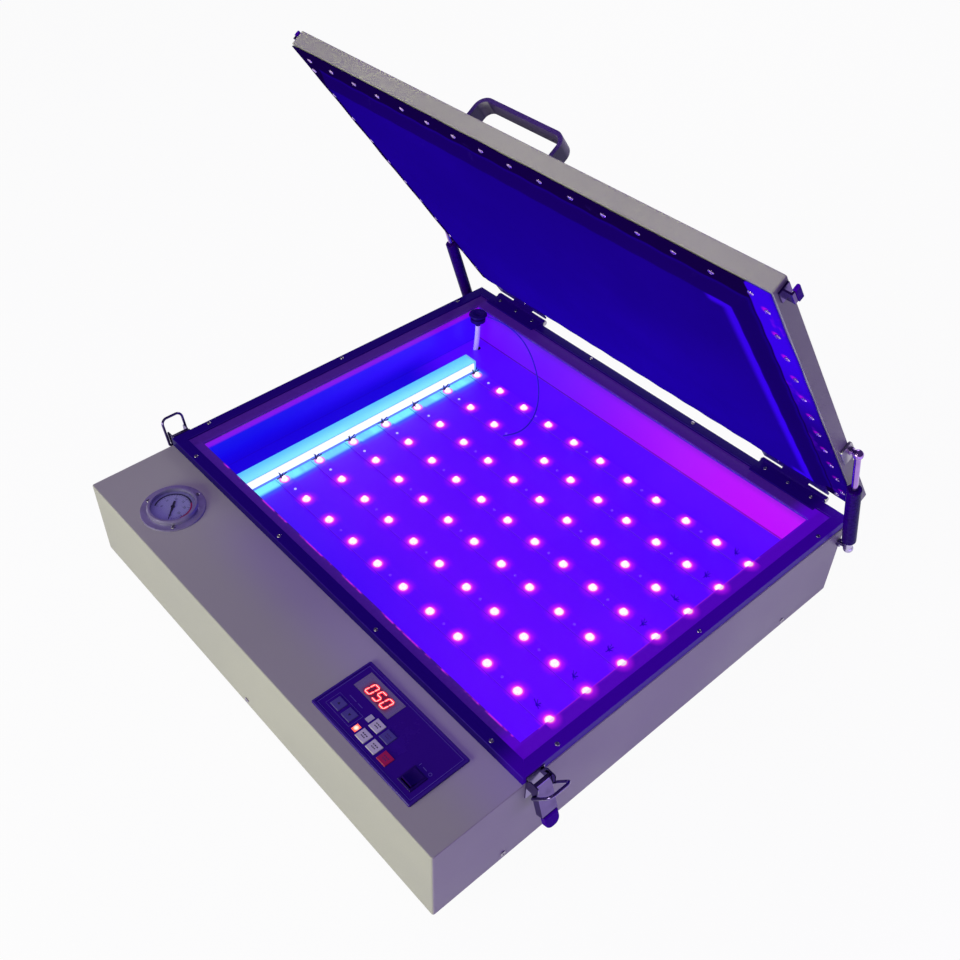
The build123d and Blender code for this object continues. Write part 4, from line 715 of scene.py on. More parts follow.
def handle_paint():
    """Dark lacquered handle with a painted highlight along its arrises."""
    f = Finish("handle_paint")
    across, back, up = f.facing()
    turned = (back * COSINE - up * SINE, back * SINE + up * COSINE)
    bevel = across.magnitude() + turned[0].magnitude() + turned[1].magnitude()
    highlight_breakup = f.drift(f.noise(110.0, 4.0, 0.6), 0.55, 1.0)
    # painted highlight along the arrises, broken up by noise
    edge = f.rise(bevel, 1.08, 1.30) * highlight_breakup
    grain = f.noise(900.0, 2.0)
    # the dark lacquer's violet is painted light of the lamps
    dark = f.mix(f.drift(grain), tint(54, 34, 100), tint(66, 44, 116))
    return f.close(
        Base_Color=f.mix(edge, dark, tint(150, 142, 172)),
        Roughness=f.drift(grain, 0.28, 0.38) + edge * 0.1,
        Normal=f.bump(grain, 0.00008, 0.4),
        Specular_IOR_Level=0.3,
    )


def circuit_board():
    """Green solder mask with printed tracks and pads."""
    f = Finish("circuit_board")
    pads = f.fall(f.cells(260.0), 0.10, 0.16)
    tracks = f.rise(f.noise(90.0, 1.0, 0.5, f.stretch(1.0, 5.0, 1.0)), 0.49, 0.51)
    shade = f.mix(tracks * 0.5, tint(20, 74, 44), tint(34, 104, 62))
    return f.close(
        Base_Color=f.mix(pads, shade, tint(196, 190, 170)),
        Roughness=0.30 + tracks * 0.08,
        Metallic=pads * 0.8,
        Normal=f.bump(tracks + pads, 0.00008, 0.5),
    )


# ---------------------------------------------------------------- mesh helpers


def placed(name, data):
    """A new object in the scene."""
    thing = bpy.data.objects.new(name, data)
    bpy.context.scene.collection.objects.link(thing)
    return thing


def as_mesh(carrier):
    """The plain mesh that an object's modifiers or text come to; the object goes."""
    bpy.context.view_layer.update()
    graph = bpy.context.evaluated_depsgraph_get()
    made = bpy.data.meshes.new_from_object(carrier.evaluated_get(graph))
    bpy.data.objects.remove(carrier)
    return made


def finished(name, mesh, material, body, slot, *replaced):
    """Puts a mesh in the scene as a piece that rides on a body."""
    piece = placed(name, mesh)
    mesh.materials.clear()
    mesh.materials.append(material)
    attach(piece, body)
    if replaced:
        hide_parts(*replaced)
    return piece


def from_bmesh(shape, name, smooth=False):
    bmesh.ops.remove_doubles(shape, verts=shape.verts, dist=1e-7)
    bmesh.ops.recalc_face_normals(shape, faces=shape.faces)
    mesh = bpy.data.meshes.new(name)
    shape.to_mesh(mesh)
    shape.free()
    for polygon in mesh.polygons:
        polygon.use_smooth = smooth
    return mesh


def polar(centre, radius, degrees):
    turn = math.radians(degrees)
    return centre[0] + radius * math.cos(turn), centre[1] + radius * math.sin(turn)


def circle(radius, sides):
    return [(radius * math.cos(math.tau * n / sides), radius * math.sin(math.tau * n / sides))
            for n in range(sides)]


def band(shape, low, high):
    """Joins two rings of as many points with faces."""
    for n in range(len(low)):
        m = (n + 1) % len(low)
        shape.faces.new((low[n], low[m], high[m], high[n]))


def slab(shape, outline, low, high, place=at):
    """Adds a flat plate with this outline, in millimetres, to a mesh being built."""
    under = [shape.verts.new(place(x, y, low)) for x, y in outline]
    over = [shape.verts.new(place(x, y, high)) for x, y in outline]
    shape.faces.new(over)
    shape.faces.new(under[::-1])
    band(shape, under, over)


def mark(shape, outline, top):
    """Adds a printed mark that lies on a surface at this height."""
    slab(shape, outline, top, top + INK)


def arc_band(shape, centre, inner, outer, start, end, low, high, steps):
    """Adds a flat ring sector; angles in degrees."""
    for n in range(steps):
        first, last = (start + (end - start) * (n + k) / steps for k in (0, 1))
        corners = ((inner, first), (outer, first), (outer, last), (inner, last))
        slab(shape, [polar(centre, radius, turn) for radius, turn in corners], low, high)


def bar(centre, length, width, angle=0):
    """Outline of a bar, in millimetres, turned by degrees about its middle."""
    c, s = math.cos(math.radians(angle)), math.sin(math.radians(angle))
    corners = []
    for u, v in ((-1, -1), (1, -1), (1, 1), (-1, 1)):
        x, y = u * length / 2, v * width / 2
        corners.append((centre[0] + x * c - y * s, centre[1] + x * s + y * c))
    return corners


def printed(name, shape, ink, slot, body="base"):
    """Puts a print or a lit mark in the scene."""
    finished(name, from_bmesh(shape, name), ink, body, slot)


def loose_parts(node):
    """The points of each separate solid of a CAD node, always in the same order."""
    shape = bmesh.new()
    shape.from_mesh(NODES[node].data)
    bmesh.ops.remove_doubles(shape, verts=shape.verts, dist=1e-6)
    left = dict.fromkeys(shape.verts)
    parts = []
    while left:
        start = left.popitem()[0]
        group, queue = [start], [start]
        while queue:
            for edge in queue.pop().link_edges:
                for other in edge.verts:
                    if other in left:
                        del left[other]
                        group.append(other)
                        queue.append(other)
        parts.append([v.co.copy() for v in group])
    shape.free()
    return parts


def screw_form(name, radius, height):
    """A pan head with a cross recess, its seat at the origin; millimetres."""
    shape = bmesh.new()
    rings = []
    for share, rise in ((1.0, 0.0), (1.0, 0.42), (0.93, 0.72), (0.74, 0.93)):
        rings.append([shape.verts.new(loose(x, y, rise * height))
                      for x, y in circle(share * radius, 16)])
    for low, high in zip(rings, rings[1:]):
        band(shape, low, high)
    shape.faces.new(rings[0][::-1])
    arm, half = 0.52 * radius, 0.13 * radius
    cross = [(arm, -half), (arm, half), (half, half), (half, arm), (-half, arm), (-half, half)]
    cross += [(-x, -y) for x, y in cross]
    lip = [shape.verts.new(loose(x, y, height)) for x, y in cross]
    floor = [shape.verts.new(loose(x * 0.7, y * 0.7, height * 0.35)) for x, y in cross]
    edges = []
    for n in range(12):
        m = (n + 1) % 12
        edges.append(shape.edges.new((lip[n], lip[m])))
        shape.faces.new((lip[m], lip[n], floor[n], floor[m]))
    shape.faces.new(floor)
    for n in range(16):
        edges.append(shape.edges.get((rings[-1][n], rings[-1][(n + 1) % 16])))
    bmesh.ops.triangle_fill(shape, edges=edges, use_beauty=True)
    return placed(name, from_bmesh(shape, name))


def dome_form(name, profile, sides):
    """A small turned dome from (radius, height) pairs in millimetres, the last on its axis."""
    shape = bmesh.new()
    rings = [[shape.verts.new(loose(x, y, rise)) for x, y in circle(radius, sides)]
             for radius, rise in profile[:-1]]
    peak = shape.verts.new(loose(0, 0, profile[-1][1]))
    for low, high in zip(rings, rings[1:]):
        band(shape, low, high)
    for n in range(sides):
        shape.faces.new((rings[-1][n], rings[-1][(n + 1) % sides], peak))
    shape.faces.new(rings[0][::-1])
    return placed(name, from_bmesh(shape, name, smooth=True))


def wired(tree, kinds, links):
    """Adds named nodes with their settings to a tree and links socket to socket."""
    nodes = {}
    for name, (kind, settings) in kinds.items():
        nodes[name] = tree.nodes.new(kind)
        for setting, value in settings.items():
            setattr(nodes[name], setting, value)
    for start, output, end, socket in links:
        tree.links.new(nodes[start].outputs[output], nodes[end].inputs[socket])
    return nodes


def scatter_tree():
    """Geometry nodes that set one form on every point, along the point's own facing."""
    tree = bpy.data.node_groups.new("set_on_points", "GeometryNodeTree")
    tree.is_modifier = True
    for name, kind in (("Points", "Geometry"), ("Form", "Object"), ("Size", "Float"),
                       ("Turn Spread", "Float"), ("Seed", "Int"), ("Finish", "Material")):
        tree.interface.new_socket(name, in_out="INPUT", socket_type="NodeSocket" + kind)
    tree.interface.new_socket("Geometry", in_out="OUTPUT", socket_type="NodeSocketGeometry")
    nodes = wired(tree, {
        "entry": ("NodeGroupInput", {}),
        "leave": ("NodeGroupOutput", {}),
        "form": ("GeometryNodeObjectInfo", {}),
        "facing": ("GeometryNodeInputNamedAttribute", {"data_type": "FLOAT_VECTOR"}),
        "align": ("FunctionNodeAlignRotationToVector", {"axis": "Z"}),
        "turn": ("FunctionNodeRandomValue", {"data_type": "FLOAT"}),
        "about": ("FunctionNodeAxisAngleToRotation", {}),
        "spin": ("FunctionNodeRotateRotation", {"rotation_space": "LOCAL"}),
        "put": ("GeometryNodeInstanceOnPoints", {}),
        "real": ("GeometryNodeRealizeInstances", {}),
        "paint": ("GeometryNodeSetMaterial", {}),
    }, (
        ("entry", "Form", "form", "Object"),
        ("facing", "Attribute", "align", "Vector"),
        ("entry", "Turn Spread", "turn", "Max"),
        ("entry", "Seed", "turn", "Seed"),
        ("turn", "Value", "about", "Angle"),
        ("align", "Rotation", "spin", "Rotation"),
        ("about", "Rotation", "spin", "Rotate By"),
        ("entry", "Points", "put", "Points"),
        ("form", "Geometry", "put", "Instance"),
        ("spin", "Rotation", "put", "Rotation"),
        ("entry", "Size", "put", "Scale"),
        ("put", "Instances", "real", "Geometry"),
        ("real", "Geometry", "paint", "Geometry"),
        ("entry", "Finish", "paint", "Material"),
        ("paint", "Geometry", "leave", "Geometry"),
    ))
    nodes["facing"].inputs["Name"].default_value = "facing"
    nodes["about"].inputs["Axis"].default_value = (0, 0, 1)
    return tree


def scatter(name, spots, form, finish, slot, *replaced, body="base", size=1.0, spread=0.0, seed=7):
    """One mesh of a form set on every spot; spots are (place, facing) pairs in metres."""
    tree = bpy.data.node_groups.get("set_on_points") or scatter_tree()
    mesh = bpy.data.meshes.new(name + "_points")
    mesh.from_pydata([tuple(place) for place, _ in spots], [], [])
    facing = mesh.attributes.new("facing", "FLOAT_VECTOR", "POINT")
    facing.data.foreach_set("vector", [part for _, way in spots for part in way])
    carrier = placed(name + "_points", mesh)
    modifier = carrier.modifiers.new("set", "NODES")
    modifier.node_group = tree
    values = {"Form": form, "Size": size, "Turn Spread": spread, "Seed": seed, "Finish": finish}
    for item in tree.interface.items_tree:
        if item.in_out == "INPUT" and item.name in values:
            modifier[item.identifier] = values[item.name]
    made = as_mesh(carrier)
    bpy.data.objects.remove(form)
    if not made.polygons:
        raise RuntimeError(name + " came out empty")
    made.name = name
    return finished(name, made, finish, body, slot, *replaced)


def spline(name, points, radius, material):
    """A round cord on one smooth curve through the air between its ends; millimetres."""
    curve = bpy.data.curves.new(name, "CURVE")
    curve.dimensions = "3D"
    line = curve.splines.new("NURBS")
    line.points.add(len(points) - 1)
    for point, place in zip(line.points, points):
        point.co = (*at(*place), 1.0)
    line.order_u = 3
    line.use_endpoint_u = True
    line.resolution_u = 12
    curve.bevel_depth = radius * MM
    curve.bevel_resolution = 3
    curve.use_fill_caps = True
    curve.materials.append(material)
    piece = placed(name, curve)
    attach(piece, "base")
    return piece


# ---------------------------------------------------------------- settings


class ExposureFinishes(bpy.types.PropertyGroup):
    """Colours of the unit's main finishes, as shown on a screen."""

    coat: bpy.props.FloatVectorProperty(
        name="Coat", description="Powder coat of case and lid", subtype="COLOR",
        default=tint(160, 156, 158)[:3], min=0, max=1)
    # the bars' violet is painted lamp light on black anodising
    bar: bpy.props.FloatVectorProperty(
        name="Frame", description="Anodised bars round the glass", subtype="COLOR",
        default=tint(28, 6, 100)[:3], min=0, max=1)
    # the blanket's blue is painted lamp light on black-blue rubber
    blanket: bpy.props.FloatVectorProperty(
        name="Blanket", description="Rubber blanket under the lid", subtype="COLOR",
        default=tint(28, 1, 140)[:3], min=0, max=1)
    # the panel's violet is painted lamp light on a black overlay
    panel: bpy.props.FloatVectorProperty(
        name="Panel", description="Overlay of the control panel", subtype="COLOR",
        default=tint(52, 8, 134)[:3], min=0, max=1)


class ExposureSizes(bpy.types.PropertyGroup):
    """Sizes of the pieces that are added to the frame."""

    wave: bpy.props.FloatProperty(
        name="Blanket wave", description="Height of the blanket's ripples", unit="LENGTH",
        default=0.0007, min=0.0, max=0.002)
    screw_turn: bpy.props.FloatProperty(
        name="Screw turn", description="Spread of the turn of the screw slots", subtype="ANGLE",
        default=math.tau, min=0.0)
    lamp_dome: bpy.props.FloatProperty(
        name="Lamp dome", description="Radius of the clear dome on each lamp", unit="LENGTH",
        default=0.0034, min=0.001, max=0.0036)
    digit_slant: bpy.props.FloatProperty(
        name="Digit slant", description="Lean of the display's digits", subtype="ANGLE",
        default=math.radians(8), min=0.0)


# ---------------------------------------------------------------- operators


class MakeStage(bpy.types.Operator):
    """Camera, floor, background and the studio lamps"""

    bl_idname = "exposure.make_stage"
    bl_label = "Stage"

    def execute(self, context):
        scene = context.scene
        right = Vector((0.65634361, 0.75445154, 0.00399244))
        down = Vector((0.50895983, -0.43885664, -0.74051653))
        forward = Vector((-0.55693173, 0.48806529, -0.67202628))
        camera_data = bpy.data.cameras.new("camera")
        camera_data.sensor_width = 36.0
        camera_data.lens = 41.39
        camera_data.shift_x = 0.0277
        camera_data.shift_y = -0.0217
        camera_data.clip_start = 0.01
        camera = placed("camera", camera_data)
        turn = Matrix((right, -down, -forward)).transposed()
        camera.matrix_world = Matrix.Translation((0.7641, -0.6929, 1.1381)) @ turn.to_4x4()
        scene.camera = camera

        shape = bmesh.new()
        bmesh.ops.create_grid(shape, x_segments=1, y_segments=1, size=9.0)
        floor = placed("floor", from_bmesh(shape, "floor"))
        f = Finish("studio_floor")
        path = f.add("ShaderNodeLightPath", output="Is Camera Ray")
        shiny = Shade(f, path.socket.node.outputs["Is Glossy Ray"])
        white = f.add("ShaderNodeEmission", inputs={"Color": (1, 1, 1, 1), "Strength": 1.0})
        paper = f.add("ShaderNodeBsdfDiffuse", inputs={"Color": (0.82, 0.82, 0.83, 1)})
        seen = (path + shiny) > 0.5
        f.add_output(f.add("ShaderNodeMixShader", inputs={0: seen * 0.95, 1: paper, 2: white}))
        floor.data.materials.append(f.material)

        world = bpy.data.worlds.new("studio")
        world.use_nodes = True
        scene.world = world
        world.node_tree.nodes.clear()
        nodes = wired(world.node_tree, {
            "rays": ("ShaderNodeLightPath", {}),
            "most": ("ShaderNodeMath", {"operation": "MAXIMUM"}),
            "plain": ("ShaderNodeBackground", {}),
            "shown": ("ShaderNodeBackground", {}),
            "join": ("ShaderNodeMixShader", {}),
            "end": ("ShaderNodeOutputWorld", {}),
        }, (
            ("rays", "Is Camera Ray", "most", 0),
            ("rays", "Is Transmission Ray", "most", 1),
            ("most", 0, "join", 0),
            ("plain", 0, "join", 1),
            ("shown", 0, "join", 2),
            ("join", 0, "end", "Surface"),
        ))
        nodes["plain"].inputs["Color"].default_value = (0.62, 0.44, 1.0, 1)
        nodes["plain"].inputs["Strength"].default_value = 0.17
        nodes["shown"].inputs["Color"].default_value = (1, 1, 1, 1)

        # name, place, aim, size, power, colour, spread in degrees, seen in gloss
        for lamp in (
            ("front_softbox", (0.1, -2.3, 0.55), (0, -0.2, 0.12), (1.8, 0.8), 44.0,
             (0.91, 1.0, 0.62), 180, True),
            ("top_softbox", (0.1, -0.5, 2.3), (0, 0.0, 0.2), (1.6, 1.6), 15.2,
             (0.56, 0.36, 1.0), 180, False),
            ("right_fill", (0.85, 0.0, 0.05), (0.35, 0.0, 0.07), (0.9, 0.08), 0.7,
             (0.52, 0.28, 1.0), 180, True),
            ("lid_edge_light", (0.0, -0.85, 1.25), (0, -0.02, 0.62), (0.9, 0.1), 0.6,
             (0.84, 1.0, 0.40), 60, True),
            ("rear_fill", (-1.2, 2.2, 1.6), (0, 0.2, 0.3), (1.2, 1.2), 14.0,
             (1.0, 0.98, 0.94), 180, True),
            ("chamber_glow", (0.0, 0.05, 0.150), (0.0, 0.10, 0.7), (0.56, 0.44), 1.3,
             (0.22, 0.01, 1.0), 180, False),
        ):
            self.softbox(*lamp)
        scene.view_settings.view_transform = "Standard"
        return {"FINISHED"}

    def softbox(self, name, place, aim, size, power, colour, spread, glossy):
        lamp = bpy.data.lights.new(name, "AREA")
        lamp.shape = "RECTANGLE"
        lamp.size, lamp.size_y = size
        lamp.energy = power
        lamp.color = colour
        lamp.spread = math.radians(spread)
        holder = placed(name, lamp)
        way = (Vector(aim) - Vector(place)).to_track_quat("-Z", "Y").to_matrix().to_4x4()
        holder.matrix_world = Matrix.Translation(place) @ way
        holder.visible_camera = False
        holder.visible_glossy = glossy


class MakeHoses(bpy.types.Operator):
    """Suction hose, gauge hose and the bleeder cord on the glass"""

    bl_idname = "exposure.make_hoses"
    bl_label = "Hoses and cord"

    def execute(self, context):
        silicone = hose_silicone()
        suction = spline("suction_hose", [
            (-299.0, 297.0, 114.3), (-299.0, 297.0, 32.0), (-297.0, 222.0, 20.0),
            (-301.0, 147.0, 19.0), (-296.0, 72.0, 20.0), (-300.0, -3.0, 19.0),
            (-296.0, -78.0, 20.0), (-294.0, -153.0, 21.0), (-283.0, -222.0, 26.0),
            (-248.0, -272.0, 38.0), (-190.0, -275.0, 55.5), (-134.0, -275.0, 55.5),
        ], 4.0, silicone)
        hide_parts("vacuum_hoses")
        gauge = spline("gauge_hose", [
            (-240.0, -288.0, 88.3), (-240.0, -288.0, 52.3), (-218.0, -290.0, 28.3),
            (-182.0, -291.0, 44.3), (-154.0, -290.0, 59.5), (-134.0, -290.0, 59.5),
        ], 2.5, silicone)
        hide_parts("vacuum_hoses")
        # the cord's blue and its glow are painted light of the lamps
        cord_rubber = moulded(
            "cord_rubber", tint(40, 22, 176), 0.5, 2400.0, dusty=0.0, sheen=0.2, lit=0.6)
        on_glass = 135.4
        bleeder = spline("bleeder_line", [(x, y, on_glass) for x, y in (
            (-283.5, 303.0), (-264.0, 309.0), (-235.0, 309.5), (-204.0, 303.0), (-171.0, 288.0),
            (-136.0, 266.0), (-103.0, 240.0), (-77.0, 213.0), (-59.0, 187.0), (-50.0, 163.0),
            (-50.0, 142.0), (-58.0, 127.0),
        )], 1.0, cord_rubber)
        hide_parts("bleeder_cord")
        return {"FINISHED"}


class MakeBlanket(bpy.types.Operator):
    """Rubber blanket, screwed round its border and standing down in the middle"""

    bl_idname = "exposure.make_blanket"
    bl_label = "Blanket"

    def execute(self, context):
        scene = context.scene
        wave = scene.exposure_sizes.wave / MM
        wide, deep = LID_WIDTH - 3.6, LID_DEPTH - 3.6
        middle = LID_REAR - LID_DEPTH / 2
        columns, rows = 176, 140
        border, slope, drop, level, rubber = 28.0, 17.0, 9.5, 8.3, 1.9
        screws = []
        for n in range(16):
            x = (n - 7.5) * FRONT_PITCH
            screws.append((x, LID_FRONT + 17.0))
            if abs(abs(x) - 260.0) >= 51.0:
                screws.append((x, LID_REAR - 17.0))
        for n in range(11):
            for side in (-1, 1):
                screws.append((side * (LID_WIDTH / 2 - 13.0), middle + (n - 5) * SIDE_PITCH))

        def spaced(count, half):
            """Places across the sheet, closer together near both edges."""
            turns = [2 * n / count - 1 for n in range(count + 1)]
            return [half * (0.62 * t + 0.38 * math.sin(t * math.pi / 2)) for t in turns]

        def height(x, y):
            inset_x, inset_y = wide / 2 - abs(x), deep / 2 - abs(y - middle)
            inset = min(inset_x, inset_y)
            t = min(1.0, max(0.0, (inset - border) / slope))
            ease = t * t * (3 - 2 * t)
            z = level - drop * ease * 0.97
            # shallow pulls from screw to screw along the border and the slope
            along, pitch = (x, FRONT_PITCH) if inset_y < inset_x else (y, SIDE_PITCH)
            pull = math.exp(-(((inset - 34.0) / 14.0) ** 2))
            z -= wave * pull * (0.8 + 0.6 * math.sin(along / pitch * math.tau + 0.7))
            z -= wave * 0.8 * ease * (1 + math.sin(x / 83.0 + 0.4) * math.cos(y / 97.0)) / 2
            edge = math.exp(-((inset / 7.0) ** 2))
            ruffle = math.sin(along / 17.0) * math.sin(along / 41.0 + 1.0)
            z -= edge * wave * 0.9 * (1 + ruffle) / 2
            near = min((x - sx) ** 2 + (y - sy) ** 2 for sx, sy in screws)
            return z + (0.55 * math.exp(-near / 18.0) if near < 100.0 else 0.0)

        def drawn_in(place, other, half, long_wave, short_wave):
            """A place near the cut edge moved inside the lid's own edge by a wandering bit."""
            slack = max(0.0, 1 - (half - abs(place)) / 9.0)
            wander = math.sin(other / short_wave + math.sin(other / long_wave) * 2)
            return math.copysign(slack * (0.5 + 0.5 * wander), place)

        shape = bmesh.new()
        lay = shape.loops.layers.uv.new("lay")
        grid, flat = [], {}
        for x in spaced(columns, wide / 2):
            line = []
            for offset in spaced(rows, deep / 2):
                y = middle + offset
                vertex = shape.verts.new(on_lid(
                    x - drawn_in(x, y, wide / 2, 61.0, 23.0),
                    y - drawn_in(offset, x, deep / 2, 53.0, 19.0), height(x, y)))
                flat[vertex] = (0.5 + x * MM, 0.5 + offset * MM)
                line.append(vertex)
            grid.append(line)
        for near, far in zip(grid, grid[1:]):
            for m in range(rows):
                face = shape.faces.new((near[m], near[m + 1], far[m + 1], far[m]))
                for loop in face.loops:
                    loop[lay].uv = flat[loop.vert]
        mesh = bpy.data.meshes.new("blanket")
        shape.to_mesh(mesh)
        shape.free()
        for polygon in mesh.polygons:
            polygon.use_smooth = True
        carrier = placed("blanket_sheet", mesh)
        thick = carrier.modifiers.new("rubber", "SOLIDIFY")
        thick.thickness = rubber * MM
        thick.offset = -1.0
        thick.use_even_offset = True
        made = as_mesh(carrier)
        made.name = "blanket"
        colour = (*scene.exposure_finishes.blanket, 1.0)
        blanket = finished(
            "blanket", made, blanket_rubber(colour), "lid", "blanket", "rubber_blanket")
        return {"FINISHED"}


class MakeScrews(bpy.types.Operator):
    """Cross-recess screws of lid, frame, gauge and case"""

    bl_idname = "exposure.make_screws"
    bl_label = "Screws"

    def execute(self, context):
        spread = context.scene.exposure_sizes.screw_turn
        zinc = bright_metal("zinc_screw", tint(176, 168, 190), 0.26)
        violet = bright_metal("violet_lit_screw", tint(206, 170, 244), 0.20)
        down_lid = Vector((0, -SINE, -COSINE))
        for name, node, body, radius, head, finish, seed, facing in (
            ("blanket_screws", "lid_screws", "lid", 3.4, 1.8, violet, 3, lambda middle: down_lid),
            ("frame_screws", "pan_head_screws", "base", 2.9, 1.2, zinc, 5, lambda middle: UP),
            ("wall_screws", "case_screws", "base", 3.6, 1.6, zinc, 9, self.outward),
        ):
            spots = []
            for points in loose_parts(node):
                middle = sum(points, Vector()) / len(points)
                way = facing(middle)
                # the head rests below the outermost reach by its own height
                reach = max(p.dot(way) for p in points) - head * MM
                spots.append((middle + way * (reach - middle.dot(way)), way))
            scatter(name, spots, screw_form(name + "_form", radius, head), finish, "zinc", node,
                    body=body, spread=spread, seed=seed)
        return {"FINISHED"}

    def outward(self, middle):
        """The way a screw in the case's walls faces."""
        if abs(middle.x) > 0.1:
            return Vector((math.copysign(1, middle.x), 0, 0))
        return Vector((0, math.copysign(1, middle.y), 0))


class MakeLamps(bpy.types.Operator):
    """Domes on the lamps, wire clips and small screws on their boards"""

    bl_idname = "exposure.make_lamps"
    bl_label = "Lamps"

    def execute(self, context):
        radius = context.scene.exposure_sizes.lamp_dome / MM
        tops = []
        for points in loose_parts("led_emitters"):
            low, high = ([pick(p[k] for p in points) for k in range(3)] for pick in (min, max))
            tops.append(Vector(((low[0] + high[0]) / 2, (low[1] + high[1]) / 2, high[2])))
        dome = [(radius * wide, radius * tall) for wide, tall in (
            (1.0, 0.0), (0.98, 0.5), (0.82, 0.92), (0.48, 1.2), (0.0, 1.3))]
        scatter("lamp_domes", [(top, UP) for top in tops], dome_form("dome_form", dome, 10),
                lamp_package(), "led")
        board_z = min(top.z for top in tops) - 0.0014
        rows = sorted({round(top.y, 5) for top in tops})
        columns = sorted({round(top.x, 5) for top in tops})

        def on_boards(shifts, back=0.0):
            return [(Vector((x, y + back, board_z)), UP) for y in rows for x in shifts]

        scatter("board_screws", on_boards([x + 0.0265 for x in columns[:-1:2]]),
                screw_form("board_screw_form", 1.9, 0.9), board_screw_finish(), "zinc", spread=3.0)
        scatter("wire_clips", on_boards([columns[0] - 0.0062], -0.0010), self.clip_form(),
                painted_print("wire_clip_dark", tint(24, 2, 92)), "black_plastic", spread=0.5)
        # the curls' violet glow is painted light of the lamps
        scatter("wire_curls", on_boards([columns[-1] - 0.0240], 0.0030), self.clip_form(),
                painted_print("wire_curl_violet", tint(30, 0, 150), 0.9), "black_plastic",
                size=0.7, spread=1.4)
        return {"FINISHED"}

    def clip_form(self):
        """A small terminal with seven short wire ends that curl up and out of it."""
        shape = bmesh.new()
        sides = ((0, 1, 3, 2), (4, 6, 7, 5), (0, 4, 5, 1), (2, 3, 7, 6), (1, 5, 7, 3), (0, 2, 6, 4))
        for n in range(7):
            turn = math.tau * n / 7 + 0.25 * (n % 2)
            c, s = math.cos(turn), math.sin(turn)
            reach, climb = 6.6 + 1.4 * (n % 3), 3.4
            if c < -0.3:
                reach, climb = reach * 0.36, 8.0
            for k in range(2):
                corners = []
                for step in (k, k + 1):
                    along, z = reach * step / 2 + 0.8, 0.6 + climb * step * 0.5
                    for side in (-0.65, 0.65):
                        for rise in (0.0, 1.2):
                            corners.append(shape.verts.new(loose(
                                along * c - side * s, along * s + side * c, z + rise)))
                for face in sides:
                    shape.faces.new([corners[corner] for corner in face])
        slab(shape, bar((0, 0), 4.0, 3.0), 0.0, 2.0, loose)
        return placed("clip_form", from_bmesh(shape, "clip_form"))


class MakeGaugeMarks(bpy.types.Operator):
    """Scale, numbers and ring of the vacuum gauge"""

    bl_idname = "exposure.make_gauge_marks"
    bl_label = "Gauge marks"

    def execute(self, context):
        top, thick, bore, rim = DECK + 3.0, 0.06, 22.6, 24.8
        dark, red = bmesh.new(), bmesh.new()
        arc_band(dark, GAUGE, bore, rim, 224, 68, top, top + thick, 40)
        arc_band(red, GAUGE, bore, rim, 68, -8, top, top + thick, 22)
        for n in range(31):
            angle = 225 - 9 * n
            inner, width = (19.0, 0.55) if n % 5 == 0 else (20.6, 0.28)
            stroke = bar(polar(GAUGE, (inner + bore) / 2, angle), bore - inner, width, angle)
            slab(dark, stroke, top, top + thick)
        ink = painted_print("gauge_ink", tint(34, 30, 62))
        printed("gauge_scale", dark, ink, "dial")
        printed("gauge_red_scale", red, painted_print("gauge_red_ink", tint(150, 10, 84)), "dial")
        for n in range(7):
            self.number(str(n * 5), polar(GAUGE, 15.0, 225 - 45 * n), top, ink)
        return {"FINISHED"}

    def number(self, words, place, top, ink):
        text = bpy.data.curves.new("number_" + words, "FONT")
        text.body = words
        text.size = 4.6 * MM
        text.extrude = 0.03 * MM
        text.align_x = "CENTER"
        text.align_y = "CENTER"
        made = as_mesh(placed("number_" + words, text))
        made.transform(Matrix.Translation(at(*place, top + 0.03)))
        finished("gauge_number_" + words, made, ink, "base", "dial")


class MakeDisplay(bpy.types.Operator):
    """Lit digits behind the display window"""

    bl_idname = "exposure.make_display"
    bl_label = "Display"

    # each bar of a digit: places across and up in half digits, and whether it stands
    BARS = {
        "a": (0, 1, False), "b": (0.5, 0.5, True), "c": (0.5, -0.5, True), "d": (0, -1, False),
        "e": (-0.5, -0.5, True), "f": (-0.5, 0.5, True), "g": (0, 0, False),
    }
    SHAPES = {"0": "abcdef", "5": "afgcd"}
    PITCH, WIDE, TALL = 12.6, 7.6, 6.9

    def execute(self, context):
        slant = math.tan(context.scene.exposure_sizes.digit_slant)
        top = DECK + 1.8
        for name, ink, colour, width, cut, low, high in (
            ("digit_glow", "digit_red", tint(255, 26, 44), 3.3, 0.0, top, top + 0.10),
            ("digit_core", "digit_core", tint(255, 190, 176), 1.1, 0.25, top + 0.10, top + 0.16),
        ):
            shape = bmesh.new()
            for place, digit in enumerate("050"):
                x = DIGITS[0] + (place - 1) * self.PITCH
                for letter in self.SHAPES[digit]:
                    outline = self.bar_line(x, *self.BARS[letter], width, cut, slant)
                    slab(shape, outline, low, high)
            printed(name, shape, painted_print(ink, colour, 1.0), "window")
        return {"FINISHED"}

    def bar_line(self, x, u, v, upright, width, cut, slant):
        """Outline of one six-sided bar of a digit, in millimetres."""
        half, tip = (3.5 if upright else 3.9) - cut, width / 2
        outline = []
        for a, b in ((-half, 0), (-half + tip, -tip), (half - tip, -tip),
                     (half, 0), (half - tip, tip), (-half + tip, tip)):
            if upright:
                a, b = -b, a
            rise = v * self.TALL + b
            outline.append((x + u * self.WIDE + a + rise * slant, DIGITS[1] + rise))
        return outline


